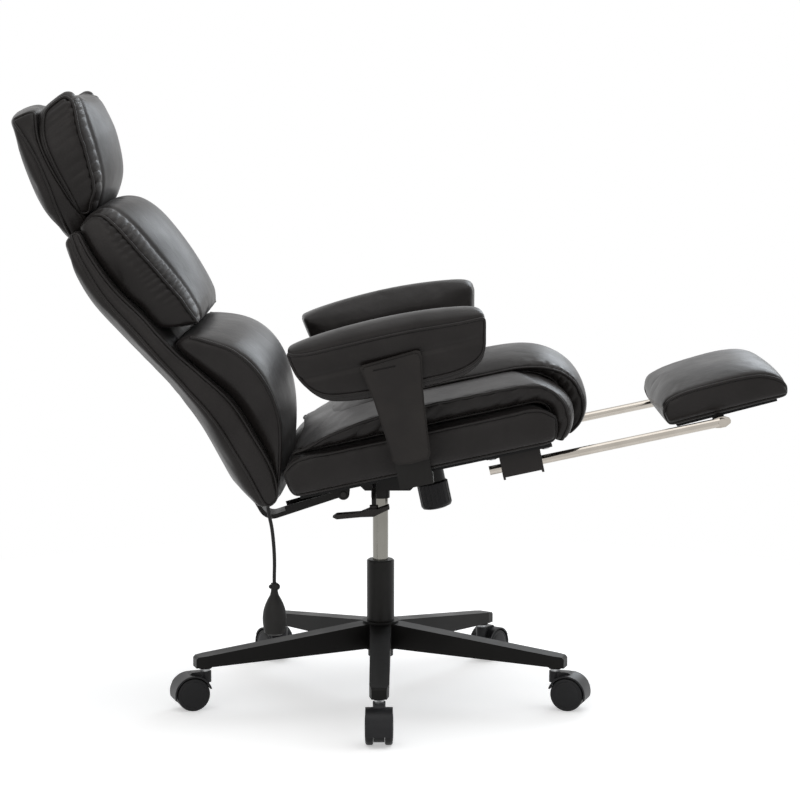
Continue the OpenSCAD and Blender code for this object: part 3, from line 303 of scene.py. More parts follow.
def power(value, p):
    """A power that keeps its value's sign."""
    return np.sign(value) * np.abs(value) ** p


def unit(v):
    """Vectors made one long."""
    return v / np.maximum(np.linalg.norm(v, axis=-1, keepdims=True), 1e-12)


# ---------------------------------------------------------------- meshes
def new_piece(name, points, faces, finish, smooth=True):
    """A mesh of points in metres, in the scene."""
    mesh = bpy.data.meshes.new(name)
    mesh.from_pydata(np.asarray(points).tolist(), [], np.asarray(faces).tolist())
    piece = bpy.data.objects.new(name, mesh)
    SCENE.collection.objects.link(piece)
    if finish:
        mesh.materials.append(finish)
    mesh.polygons.foreach_set("use_smooth", [smooth] * len(mesh.polygons))
    return piece


def grid_faces(rings, sides):
    """Quads of a tube of rings, each joined to the next and round on itself."""
    i, j = np.meshgrid(np.arange(rings - 1), np.arange(sides), indexing="ij")
    k = (j + 1) % sides
    return np.stack([i * sides + j, i * sides + k, (i + 1) * sides + k,
                     (i + 1) * sides + j], -1).reshape(-1, 4)


def closed_up(piece):
    """Merges doubles, drops flat faces and turns the shell outwards."""
    shell = bmesh.new()
    shell.from_mesh(piece.data)
    bmesh.ops.remove_doubles(shell, verts=shell.verts, dist=0.0001)
    bmesh.ops.dissolve_degenerate(shell, edges=shell.edges, dist=0.00005)
    bmesh.ops.recalc_face_normals(shell, faces=shell.faces)
    if shell.calc_volume(signed=True) < 0:
        bmesh.ops.reverse_faces(shell, faces=shell.faces)
    shell.to_mesh(piece.data)
    shell.free()
    piece.data.polygons.foreach_set("use_smooth", [True] * len(piece.data.polygons))


def places_of(piece):
    """A piece's points, a row each."""
    flat = np.zeros(len(piece.data.vertices) * 3)
    piece.data.vertices.foreach_get("co", flat)
    return flat.reshape(-1, 3)


def set_places(piece, points):
    piece.data.vertices.foreach_set("co", np.asarray(points, float).ravel())
    piece.data.update()


def directions_of(piece):
    """The normals at a piece's points, a row each."""
    flat = np.zeros(len(piece.data.vertices) * 3, np.float32)
    piece.data.vertex_normals.foreach_get("vector", flat)
    return flat.reshape(-1, 3).astype(float)


def settled(piece):
    """Applies every modifier of a piece to its mesh."""
    held = piece.evaluated_get(bpy.context.evaluated_depsgraph_get())
    mesh = bpy.data.meshes.new_from_object(held)
    finishes = [m for m in piece.data.materials]
    piece.modifiers.clear()
    old = piece.data
    piece.data = mesh
    if not mesh.materials:
        for m in finishes:
            mesh.materials.append(m)
    bpy.data.meshes.remove(old)
    piece.data.polygons.foreach_set("use_smooth", [True] * len(piece.data.polygons))


SEAM_POINTS = 120
PILLOW_RINGS, PILLOW_SIDES = 90, 88


class Form:
    """A stuffed form in a place. Its rows give, along its run, the low x and z, the high x
    and z and the share of its half width. waist is where its sides are widest, from -1 at
    the bottom to 1 at the top, one or a row spread evenly over the run; below it the section
    is flat-sided and above it crowned. draw pulls the sides in between the corners; tuck
    lowers the underside into what carries it; under narrows it towards its underside."""

    def __init__(self, place, rows, half_w, flat, crown, draw, waist=0.0, y0=0.0,
                 ends=(0.085, 0.085), tuck=0.0, under=0.0, bend=None):
        self.place, self.rows, self.half_w = place, np.array(rows, float), half_w
        self.flat, self.crown, self.draw, self.y0 = flat, crown, draw, y0
        self.waist, self.ends, self.bend = np.atleast_1d(waist), ends, bend
        self.under = under
        self.rows[:, 1] -= tuck

    def points(self, t, spread, corner):
        """At shares t of the run: across = width spread, and up from the waist by corner of
        the way to the top or the bottom, times fill, which closes the form in a quarter
        circle over a share of each end."""
        r = curve(self.rows, t)
        width = (self.half_w * r[:, 4] - self.draw * np.sin(np.pi * t))[:, None]
        across = spread * (width - self.under * np.maximum(-corner, 0)) + self.y0
        x = np.minimum(np.minimum(t / self.ends[0], (1 - t) / self.ends[1]), 1)
        fill = np.sqrt(np.maximum(1 - (1 - x) ** 2, 0))
        waist = np.interp(t, np.linspace(0, 1, len(self.waist)), self.waist)[:, None]
        low, high = r[:, [0, 1]], r[:, [2, 3]]
        mid = low + (high - low) * (1 + waist) / 2
        rise = (corner * fill[:, None])[..., None]
        flat = mid[:, None] + np.where(rise > 0, (high - mid)[:, None], (mid - low)[:, None]) * rise
        points = np.stack([flat[..., 0], across, flat[..., 1]], -1)
        return self.bend(points, t) if self.bend else points

    def line(self, height, sign):
        """A line along the run at a height, from -1 to 1 with 0 at the waist, one or a row."""
        t = (1 - np.cos(np.pi * np.linspace(0, 1, SEAM_POINTS))) / 2
        height = np.atleast_1d(height)
        height = np.interp(t, np.linspace(0, 1, len(height)), height)[:, None]
        p = np.where(height > 0, self.crown, self.flat)
        return self.points(t, (1 - np.abs(height) ** p) ** (1 / p) * sign, height)[:, 0]

    def seam(self, high, low, sign):
        """A closed line round a side panel, or an open one where low is None."""
        if low is None:
            return self.line(high, sign), False
        return np.concatenate([self.line(high, sign), self.line(low, sign)[::-1][1:-1]]), True

    def seams(self, high, low=None):
        return {"right": self.seam(high, low, -1), "left": self.seam(high, low, 1)}


def pillow(name, form, finish, inset):
    """A form's skin: t = (1 - cos(pi k / rings)) / 2 runs along it and the angle a round it,
    with spread = |cos a|^(2/p) and corner = |sin a|^(2/p)."""
    t = (1 - np.cos(np.pi * np.linspace(0, 1, PILLOW_RINGS + 1))) / 2
    a = 2 * np.pi * np.arange(PILLOW_SIDES) / PILLOW_SIDES
    c, s = np.cos(a), np.sin(a)
    p = 2 / np.where(s < 0, form.flat, form.crown)
    points = form.points(t, power(c, p)[None], power(s, p)[None])
    piece = new_piece(name, form.place.out(points.reshape(-1, 3)),
                      grid_faces(PILLOW_RINGS + 1, PILLOW_SIDES), finish)
    closed_up(piece)
    set_places(piece, places_of(piece) - directions_of(piece) * inset / 1000)
    return piece


def evenly(line, gap, closed):
    """A line's points again, a set distance apart."""
    loop = np.vstack([line, line[:1]]) if closed else line
    run = np.concatenate([[0], np.cumsum(np.linalg.norm(np.diff(loop, axis=0), axis=1))])
    count = max(int(run[-1] / gap), 8)
    at = np.linspace(0, run[-1], count + (0 if closed else 1), endpoint=not closed)
    return np.stack([np.interp(at, run, loop[:, k]) for k in range(3)], -1)


def smoothed(line, times, closed):
    """A line whose points are drawn towards their neighbours a few times."""
    for _ in range(times):
        if closed:
            line = (np.roll(line, 1, 0) + 2 * line + np.roll(line, -1, 0)) / 4
        else:
            inner = (line[:-2] + 2 * line[1:-1] + line[2:]) / 4
            line = np.vstack([line[:1], inner, line[-1:]])
    return line


def tube(name, line, radius, finish, sides, closed=False, facing=None):
    """A round cord along a line: centre + radius (normal cos a + side sin a). The normal is
    the given facing, or the chair's y, less its part along the line. Open ends are rounded."""
    if closed:
        way = unit(np.roll(line, -1, 0) - np.roll(line, 1, 0))
    else:
        way = unit(np.gradient(line, axis=0))
    lead = np.broadcast_to([0, 1.0, 0], line.shape) if facing is None else facing
    lead = unit(lead - way * np.sum(lead * way, -1, keepdims=True))
    side = np.cross(way, lead)
    a = 2 * np.pi * np.arange(sides) / sides
    girth = np.full(len(line), radius)
    if not closed:
        k = np.array([0, 0.25, 0.6, 0.85, 1])
        r_end, shift = np.sin(k * np.pi / 2), 1 - np.cos(k * np.pi / 2)
        head = line[:1] - way[:1] * radius * (1 - shift)[:, None]
        tail = line[-1:] + way[-1:] * radius * (1 - shift)[::-1][:, None]
        line = np.vstack([head[:-1], line, tail[1:]])
        lead = np.vstack([np.repeat(lead[:1], 4, 0), lead, np.repeat(lead[-1:], 4, 0)])
        side = np.vstack([np.repeat(side[:1], 4, 0), side, np.repeat(side[-1:], 4, 0)])
        girth = np.concatenate([radius * r_end[:-1], girth, radius * r_end[::-1][1:]])
    ring = line[:, None, :] + girth[:, None, None] * (
        lead[:, None, :] * np.cos(a)[None, :, None] + side[:, None, :] * np.sin(a)[None, :, None])
    rings = len(line)
    points = ring.reshape(-1, 3)
    faces = grid_faces(rings, sides)
    if closed:
        last = grid_faces(2, sides)
        last = np.where(last >= sides, last - sides, last + (rings - 1) * sides)
        faces = np.vstack([faces, last])
    piece = new_piece(name, points, faces, finish)
    closed_up(piece)
    return piece


# ---------------------------------------------------------------- stuffing
# SEAM_REACH and PIPE_STEP are in metres, the other lengths in millimetres.
CLOTH_FRAMES = 14
FOAM_PRESSURE = 4.0
SEAM_REACH = 0.012
HOLD_STEPS = 8
GROOVE_WIDTH = 6.5
PIPE_RADIUS, PIPE_SINK = 2.6, 0.5
PIPE_STEP, PIPE_ROUNDS, PIPE_SIDES = 0.004, 6, 10


def stuffed(piece, voxel, swell, pins):
    """Leather over foam: the shell is remeshed, blown up as cloth for a few frames with its
    seams held, and no point moves further than swell (mm)."""
    exact = piece.copy()
    exact.data = piece.data.copy()
    SCENE.collection.objects.link(exact)
    shell = piece.modifiers.new("even", "REMESH")
    shell.mode = "VOXEL"
    shell.voxel_size = voxel / 1000
    level_out = piece.modifiers.new("level_out", "SMOOTH")
    level_out.factor, level_out.iterations = 0.5, 3
    drawn_on = piece.modifiers.new("drawn_on", "SHRINKWRAP")
    drawn_on.target = exact
    settled(piece)
    old = exact.data
    bpy.data.objects.remove(exact)
    bpy.data.meshes.remove(old)
    start = places_of(piece)
    cloth = piece.modifiers.new("stuffing", "CLOTH")
    rules = cloth.settings
    rules.quality = 4
    rules.mass = 0.3
    rules.use_pressure = True
    rules.uniform_pressure_force = FOAM_PRESSURE
    rules.effector_weights.gravity = 0
    rules.tension_stiffness = rules.compression_stiffness = 18
    rules.shear_stiffness = 6
    rules.bending_stiffness = 0.8
    held = piece.vertex_groups.new(name="seams")
    share = np.clip(1 - (gap_to(start, pins) / SEAM_REACH) ** 2, 0, 1)
    share = np.round(HOLD_STEPS * share)
    for step in range(1, HOLD_STEPS + 1):
        held.add(np.flatnonzero(share == step).tolist(), step / HOLD_STEPS, "REPLACE")
    rules.vertex_group_mass = "seams"
    cloth.point_cache.frame_start, cloth.point_cache.frame_end = 1, CLOTH_FRAMES
    for number in range(1, CLOTH_FRAMES + 1):
        SCENE.frame_set(number)
    settled(piece)
    piece.vertex_groups.clear()
    SCENE.frame_set(1)
    move = places_of(piece) - start
    far = np.linalg.norm(move, axis=1, keepdims=True)
    set_places(piece, start + move * np.minimum(1, swell / 1000 / np.maximum(far, 1e-9)))
    ironed = piece.modifiers.new("ironed", "SMOOTH")
    ironed.factor, ironed.iterations = 0.5, 5
    finer = piece.modifiers.new("finer", "SUBSURF")
    finer.levels = finer.render_levels = 1
    settled(piece)


def gap_to(points, line):
    """Distance from each point to the nearest point of a line."""
    square = (points ** 2).sum(1)[:, None] + (line ** 2).sum(1)[None] - 2 * points @ line.T
    return np.sqrt(np.maximum(square.min(1), 0))


def pushed(piece, place, depth):
    """Moves each point along its normal by depth(local x, y, z, normal) millimetres."""
    world = places_of(piece)
    lie = directions_of(piece)
    local = place.back(world)
    amount = depth(local[:, 0], local[:, 1], local[:, 2], lie @ place.turn.T)
    set_places(piece, world + lie * amount[:, None] / 1000)


def on_skin(piece, line, sink):
    """A line laid on a piece's skin, sunk by sink (m) under it, with the skin's normals."""
    held = piece.evaluated_get(bpy.context.evaluated_depsgraph_get())
    shell = bmesh.new()
    shell.from_mesh(held.data)
    tree = BVHTree.FromBMesh(shell)
    found = [tree.find_nearest(Vector(p)) for p in line]
    shell.free()
    where = np.array([f[0] for f in found])
    lie = np.array([f[1] for f in found])
    return where - lie * sink, lie


def piping(name, piece, line, body, closed):
    """Leather rolled round a cord and sewn into a seam, laid along a line on the skin."""
    line = evenly(line, PIPE_STEP, closed)
    where, lie = on_skin(piece, line, -PIPE_RADIUS * PIPE_SINK / 1000)
    where = smoothed(where, PIPE_ROUNDS, closed)
    lie = unit(smoothed(lie, PIPE_ROUNDS, closed))
    cord = tube(name, where, PIPE_RADIUS / 1000, PIPE_LEATHER, PIPE_SIDES, closed, lie)
    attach(cord, body)


def band(value, low, high, soft):
    """1 between low and high, falling to 0 over soft on either side."""
    rise = np.clip((value - (low - soft)) / soft, 0, 1)
    fall = np.clip(((high + soft) - value) / soft, 0, 1)
    return (rise * rise * (3 - 2 * rise)) * (fall * fall * (3 - 2 * fall))


def gathers(run, across, pitch, seed):
    """Folds of gathered leather along a run, -1 to 1: an uneven wave whose phase wanders,
    sharpened so that the folds are rounded and the creases between them tight."""
    phase = 2 * np.pi * run / pitch + 1.5 * np.sin(run / (pitch * 1.9) + seed) \
        + 1.1 * np.sin(run / (pitch * 0.83) + 2.1 * seed) + 0.9 * np.sin(across / 17 + seed)
    size = 0.65 + 0.35 * np.sin(run / (pitch * 1.37) + 3.3 * seed)
    return (np.abs(np.sin(phase / 2)) ** 0.7 * 2 - 1) * size


# ---------------------------------------------------------------- finishes
SIDE_LEATHER = leather_finish("bonded_leather_black", "#1b1817", "#252221")
PIPE_LEATHER = leather_finish("rolled_leather_piping", "#191615", "#242120", 0.36, 0.3)
HOSE_RUBBER = plastic_finish("extruded_pvc_hose", "#1b1a1a", "#242323", 0.36)
HOOD_NYLON = plastic_finish("moulded_nylon_hood", "#1c1c1e", "#272729", 0.38)
WHEEL_NYLON = plastic_finish("moulded_nylon_wheel", "#171718", "#212123", 0.42)


# ---------------------------------------------------------------- the pump's hose
HOSE_ROUTE = [(-198, 386.4), (-197.5, 374), (-195, 358), (-191, 338), (-188.5, 316),
              (-187, 294), (-186.5, 272), (-187, 250), (-187, 238)]
HOSE_Y = -150
HOSE_D = 6.5
HOSE_POINTS = 27


def hose():
    """The hose follows the part's own route on one smooth curve, with a round upper end."""
    flat = curve(HOSE_ROUTE, np.linspace(0, 1, HOSE_POINTS))
    line = np.stack([flat[:, 0], np.full(HOSE_POINTS, HOSE_Y), flat[:, 1]], -1) / 1000
    piece = tube("pump_hose_tube", line, HOSE_D / 2000, HOSE_RUBBER, sides=16)
    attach(piece, "pump")
    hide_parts("pump_hose")


set_camera()
set_lights()
hose()


# ---------------------------------------------------------------- tables of the forms
SEAT_LEN, SEAT_FLOOR, LAYERS = 488, 33, (79, 45, 40)
SEAT_HALF, CENTRE_HALF, BACK_HALF, HEAD_HALF, REST_HALF = 270, 143, 250, 190, 184
ARM_OUT, ARM_HALF = 297, 45


def level(k):
    """Height of a count of seat layers above the tilt frame."""
    return SEAT_FLOOR + LAYERS[0] * min(k, 1) + LAYERS[1] * max(min(k - 1, 1), 0) \
        + LAYERS[2] * max(k - 2, 0)


def seat_rows(table):
    """Rows of a seat form: x as a share of the seat's length, z as a count of layers."""
    return [[SEAT_LEN * r[0], level(r[1]), SEAT_LEN * r[2], level(r[3]), r[4]] for r in table]


def scaled_rows(table, x0, length, z0, height):
    """Rows given as shares of a length and a height, in millimetres."""
    return [[x0 + length * r[0], z0 + height * r[1], x0 + length * r[2], z0 + height * r[3], r[4]]
            for r in table]


BASE_ROWS = seat_rows([
    [-0.310, 0.02, -0.312, 0.75, 0.965], [-0.25, 0.00, -0.25, 0.99, 1],
    [-0.10, 0, -0.10, 1, 1], [0.10, 0, 0.10, 1, 1], [0.30, 0, 0.30, 1, 1],
    [0.50, 0, 0.50, 1, 1], [0.615, 0, 0.615, 0.985, 0.995], [0.673, 0.06, 0.678, 0.70, 0.965]])
MIDDLE_ROWS = seat_rows([
    [-0.275, 1.035, -0.280, 1.15, 0.93], [-0.21, 1.025, -0.22, 1.38, 0.97],
    [-0.10, 1.01, -0.11, 1.72, 0.985], [0.05, 1.01, 0.05, 1.96, 0.99],
    [0.22, 1.01, 0.22, 2, 0.99], [0.40, 1.01, 0.40, 2, 0.99], [0.55, 1.01, 0.56, 1.99, 0.99],
    [0.620, 1.01, 0.66, 1.82, 0.985], [0.646, 0.86, 0.733, 1.08, 0.975],
    [0.648, 0.60, 0.755, 0.60, 0.965], [0.640, 0.36, 0.744, 0.28, 0.955],
    [0.625, 0.18, 0.706, -0.02, 0.94]])
CENTRE_ROWS = seat_rows([
    [-0.135, 1.50, -0.150, 1.68, 0.90], [-0.07, 1.72, -0.08, 2.14, 0.96],
    [0.08, 1.92, 0.08, 2.74, 1], [0.28, 2.02, 0.28, 3.02, 1], [0.46, 2.02, 0.47, 3.00, 1],
    [0.59, 2.00, 0.64, 2.84, 1], [0.670, 1.62, 0.742, 2.20, 0.99],
    [0.702, 1.14, 0.800, 1.38, 0.98], [0.708, 0.72, 0.818, 0.70, 0.965],
    [0.700, 0.44, 0.808, 0.32, 0.95], [0.685, 0.24, 0.774, 0.04, 0.94],
    [0.668, 0.12, 0.734, -0.10, 0.93]])
SHELL_ROWS = scaled_rows([
    [0.020, 0.15, 0.000, 0.37, 0.94], [0.10, 0.115, 0.08, 0.51, 0.98],
    [0.20, 0.15, 0.20, 0.56, 1], [0.32, 0.19, 0.32, 0.58, 1], [0.435, 0.19, 0.435, 0.51, 1],
    [0.55, 0.145, 0.55, 0.43, 0.98], [0.67, 0.10, 0.67, 0.39, 0.95],
    [0.79, 0.06, 0.79, 0.33, 0.92], [0.90, 0.08, 0.90, 0.335, 0.90],
    [0.983, 0.15, 0.985, 0.37, 0.84]], 0, 600, 0, 200)
LUMBAR_ROWS = scaled_rows([
    [0.012, 0.33, 0.004, 0.41, 0.86], [0.06, 0.44, 0.055, 0.53, 0.93],
    [0.118, 0.515, 0.108, 0.68, 0.955],
    [0.205, 0.57, 0.19, 0.88, 0.985], [0.31, 0.592, 0.28, 1.02, 1],
    [0.40, 0.55, 0.37, 1.07, 1], [0.49, 0.487, 0.445, 1.02, 0.985],
    [0.582, 0.43, 0.515, 0.86, 0.95]], 0, 600, 0, 200)
UPPER_ROWS = scaled_rows([
    [0.60, 0.43, 0.545, 0.83, 0.87], [0.67, 0.397, 0.645, 0.915, 0.89],
    [0.78, 0.342, 0.765, 0.95, 0.88], [0.90, 0.342, 0.89, 0.93, 0.86],
    [0.975, 0.385, 0.965, 0.84, 0.83], [0.993, 0.41, 0.995, 0.74, 0.80]], 0, 600, 0, 200)
HEAD_SHELL_ROWS = scaled_rows([
    [-0.10, 0.20, -0.10, 0.40, 0.85], [-0.043, 0.15, -0.040, 0.45, 0.88],
    [0.19, 0.14, 0.195, 0.46, 0.97],
    [0.46, 0.21, 0.46, 0.485, 1], [0.70, 0.275, 0.68, 0.535, 0.98],
    [0.895, 0.34, 0.85, 0.62, 0.94], [1.03, 0.38, 0.985, 0.68, 0.87]], 600, 215, 0, 200)
HEAD_PILLOW_ROWS = scaled_rows([
    [0.00, 0.453, -0.03, 0.60, 0.86], [0.185, 0.465, 0.13, 0.85, 0.96],
    [0.46, 0.49, 0.42, 1.015, 0.985], [0.68, 0.54, 0.65, 1.065, 0.97],
    [0.81, 0.63, 0.80, 1.06, 0.92], [0.87, 0.73, 0.865, 0.98, 0.84]], 600, 215, 0, 200)
ARM_ROWS = scaled_rows([
    [0.00, 0.80, -0.005, 0.86, 0.80], [0.03, 0.42, 0.01, 0.90, 0.93],
    [0.12, 0.12, 0.10, 0.945, 1], [0.25, 0.02, 0.25, 0.98, 1], [0.45, 0, 0.45, 1, 1],
    [0.65, 0, 0.65, 0.995, 1], [0.82, 0.03, 0.84, 0.955, 1], [0.94, 0.20, 0.95, 0.905, 0.95],
    [0.975, 0.50, 1.00, 0.82, 0.84]], -97, 344, 187, 128)
REST_ROWS = scaled_rows([
    [0.02, 0.06, 0.00, 0.58, 0.93], [0.06, 0.00, 0.05, 0.90, 0.98],
    [0.20, 0, 0.20, 1.06, 1], [0.45, 0, 0.45, 1.12, 1], [0.70, 0, 0.70, 1.12, 1],
    [0.87, 0, 0.86, 1.02, 0.99], [0.98, 0.02, 0.97, 0.76, 0.975],
    [1.00, 0.08, 1.006, 0.46, 0.94]], -96, 224, 5.5, 72)


def cushion(name, node, body, form, seams, voxel=6.0, swell=8.0, inset=3.0, groove=2.5,
            shape=None):
    """One padded piece: its form, stuffed, with its seams drawn in and its folds pressed,
    and its piping laid in the seams. shape adds millimetres to the skin at local x, y, z
    with its normal and its distance from the nearest seam."""
    piece = pillow(name + "_leather", form, SIDE_LEATHER, inset)
    lines = {side: form.place.out(seam[0]) for side, seam in seams.items()}
    every = np.vstack(list(lines.values()))
    stuffed(piece, voxel, swell, every)
    reach = gap_to(places_of(piece), every) * 1000

    def drawn(x, y, z, lie):
        depth = -groove * np.exp(-(reach / GROOVE_WIDTH) ** 2)
        return depth if shape is None else depth + shape(x, y, z, lie, reach)
    pushed(piece, form.place, drawn)
    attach(piece, body)
    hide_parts(node)
    for side, line in lines.items():
        piping(f"{name}_piping_{side}", piece, line, body, seams[side][1])


# ---------------------------------------------------------------- seat
def seat_cushions():
    """Three leather layers: a boxed base, a middle layer whose nose rolls down over it, and
    a narrow centre layer that rolls over both, with its sides gathered under its piping."""
    base = Form(SEAT, BASE_ROWS, SEAT_HALF, 12, 2.2, 3.24, 0.86)
    cushion("seat_base", "seat_base_cushion", "seat", base, base.seams(0, -0.93), voxel=7,
            swell=7, inset=2)

    def middle_folds(x, y, z, lie, reach):
        side = band(np.abs(y), 236, 290, 10) * band(np.abs(lie[:, 1]), 0.45, 1.0, 0.25)
        return 1.5 * side * band(reach, 5, 60, 5) * gathers(x * 0.7 - z * 0.9, y, 26, 1.3)
    middle = Form(SEAT, MIDDLE_ROWS, SEAT_HALF, 9, 2.2, 5.4,
                  [-0.7, 0.1, 0.6] + [0.76] * 3 + [0.72, 0.6, 0.4] + [0.3] * 3,
                  ends=(0.085, 0.055), tuck=6, under=10)
    cushion("seat_middle", "seat_middle_cushion", "seat", middle, middle.seams(0, -0.9),
            voxel=7, inset=2.5, shape=middle_folds)

    def centre_folds(x, y, z, lie, reach):
        side = band(np.abs(y), 112, 160, 8) * band(np.abs(lie[:, 1]), 0.5, 1.0, 0.25)
        nose = band(x, 290, 420, 40)
        return 2.2 * side * nose * band(reach, 4, 60, 5) * gathers(x * 0.8 - z * 0.8, y, 19, 0.4)
    centre = Form(SEAT, CENTRE_ROWS, CENTRE_HALF, 8, 2.0, 5.72,
                  [-0.6, -0.55] + [-0.5] * 3 + [-0.46, -0.06, 0.35] + [0.5] * 4,
                  ends=(0.085, 0.055), tuck=6, under=8)
    cushion("seat_centre", "seat_centre_cushion", "seat", centre, centre.seams(0, -0.9),
            swell=9, shape=centre_folds)


# ---------------------------------------------------------------- arms
def arm_pads():
    """Long crowned pads: a top roll with piping along its outer edge, a boxed outer side
    with a soft crease under the roll, and an inner side that wraps round."""
    for s, side in ((-1, "right"), (1, "left")):
        def drawn_in(points, t):
            """The inner side is 3% shorter than the outer one, so the ends slant."""
            inner = np.clip(0.5 - (points[..., 1] - ARM_OUT * s) * s / (2 * ARM_HALF), 0, 1)
            points[..., 0] -= (points[..., 0] - 75) * 0.03 * inner
            return points
        form = Form(SEAT, ARM_ROWS, ARM_HALF, 7, 2.2, 0, 0.56, y0=ARM_OUT * s, bend=drawn_in)

        def crease(x, y, z, lie, reach):
            outer = band(lie[:, 1] * s, 0.4, 1.0, 0.3)
            fold = np.exp(-((z - 246 - 0.02 * x) / 5.0) ** 2) * band(x, -70, 215, 30)
            return -2.6 * outer * fold
        cushion(f"arm_{side}", f"arm_pad_{side}", "seat", form,
                {"outer": form.seam(0, -0.86, s)}, voxel=4.5, swell=5, inset=1.5, groove=1.5,
                shape=crease)


# ---------------------------------------------------------------- back
def ruched(pitch, depth, seed, width):
    """A strip inside each piping where the front's leather is gathered: small folds across
    it, drawn down to the seam on one side and to a shallow valley on the other."""
    def shape(x, y, z, lie, reach):
        front = band(lie[:, 2], 0.12, 1.1, 0.2)
        strip = band(reach, 4, width - 6, 6)
        folds = depth * strip * gathers(x, y, pitch, seed)
        slope = -3.5 * np.exp(-(reach / 13) ** 2)
        valley = -2.6 * np.exp(-((reach - width) / 7) ** 2)
        return front * (folds + slope + valley)
    return shape


def back_cushions():
    """A boxed shell that carries a lumbar roll and an upper cushion, with a ruched strip
    beside each side's piping."""
    shell = Form(BACK, SHELL_ROWS, BACK_HALF, 5, 12, 6, ends=(0.045, 0.03))
    cushion("back_shell", "back_shell", "back", shell,
            shell.seams(0.9, [-0.2, -0.15, -0.2, -0.3, -0.12, -0.1, 0.1, 0.15]), voxel=6,
            swell=7, inset=2)
    lumbar = Form(BACK, LUMBAR_ROWS, BACK_HALF, 6, 1.7, 3,
                  [0.3, 0.45, 0.55, 0.58, 0.48, 0.40, 0.30, 0.0], ends=(0.05, 0.085), tuck=14)
    cushion("lumbar", "lumbar_cushion", "back", lumbar, lumbar.seams(0), swell=10)
    upper = Form(BACK, UPPER_ROWS, BACK_HALF, 9, 1.5, 5,
                 [0.6, 0.42, 0.30, 0.22, 0.17, 0.15, 0.14, 0.05], ends=(0.085, 0.05), tuck=14)
    cushion("back_upper", "back_upper_cushion", "back", upper, upper.seams(0), swell=9,
            shape=ruched(13, 1.9, 0.9, 44))


def headrest():
    """A winged shell and a pillow with an ear at each upper corner."""
    def crowned(points, t):
        """Arch the last quarter of the run: 5 mm up at the middle, 12 mm down at the sides."""
        drop = 17 * np.clip(np.abs(points[..., 1]) / 165, 0, 1) ** 2.2 - 5
        points[..., 0] -= np.clip((t - 0.75) / 0.25, 0, 1)[:, None] * drop
        return points
    shell = Form(BACK, HEAD_SHELL_ROWS, HEAD_HALF, 4, 12, 3.8, [0, 0, 0, 0, 0, -0.2, -0.45],
                 ends=(0.03, 0.085), bend=crowned)
    cushion("headrest_shell", "headrest_shell", "back", shell,
            shell.seams(0.93, [-0.6, -0.5, -0.1, 0.2, 0.3, 0.1, -0.2, -0.7]), voxel=5, swell=6,
            inset=2)

    def ears(points, t):
        """Lift along the run: 12 mm at 136 mm from the middle, and 5 mm down at the middle."""
        y = np.abs(points[..., 1])
        lift = 12 * np.exp(-((y - 136) / 26) ** 2) - 5 * np.exp(-(y / 80) ** 2)
        points[..., 0] += np.clip((t - 0.5) / 0.5, 0, 1)[:, None] ** 2 * lift
        return points
    front = Form(BACK, HEAD_PILLOW_ROWS, HEAD_HALF, 12, 1.6, 3.8,
                 [0.2, 0.3, 0.3, 0.37, 0.55, 0.67, 0.70], ends=(0.06, 0.07), tuck=16, bend=ears)
    cushion("headrest", "headrest_cushion", "back", front, front.seams(0, -0.78), voxel=5,
            shape=ruched(17, 2.0, 1.7, 38))


# ---------------------------------------------------------------- footrest
def footrest_cushion():
    """A flat-bottomed pad with a crowned top and piping round each side panel."""
    form = Form(REST, REST_ROWS, REST_HALF, 9, 2.2, 2.2, [0.5, 0.55, 0.5, 0.45, 0.4, 0.3, 0.3],
                ends=(0.085, 0.06))
    cushion("footrest", "footrest_pad", "rest", form, form.seams(0, -0.90), voxel=5, swell=7,
            inset=2)


seat_cushions()
arm_pads()
back_cushions()
headrest()
footrest_cushion()


# ---------------------------------------------------------------- casters
WHEELS_OUT = 23.5
TURNED_SIDES = 64
LIP_INNER, LIP_OUTER, LIP_SIDE = 31.6, 34.4, WHEELS_OUT - 0.6
LIP_FROM, LIP_TO = 31, -16
FIRST_LEG, LEG_TURN = -90, 72


def revolved(profile):
    """A closed solid turned about z: (r cos a, r sin a, h) for each (r, h) of the profile."""
    profile = np.array(profile, float)
    a = 2 * np.pi * np.arange(TURNED_SIDES) / TURNED_SIDES
    r, h = profile[:, :1], profile[:, 1:]
    points = np.stack([r * np.cos(a), r * np.sin(a), h + 0 * a], -1)
    return points.reshape(-1, 3), grid_faces(len(profile), TURNED_SIDES)


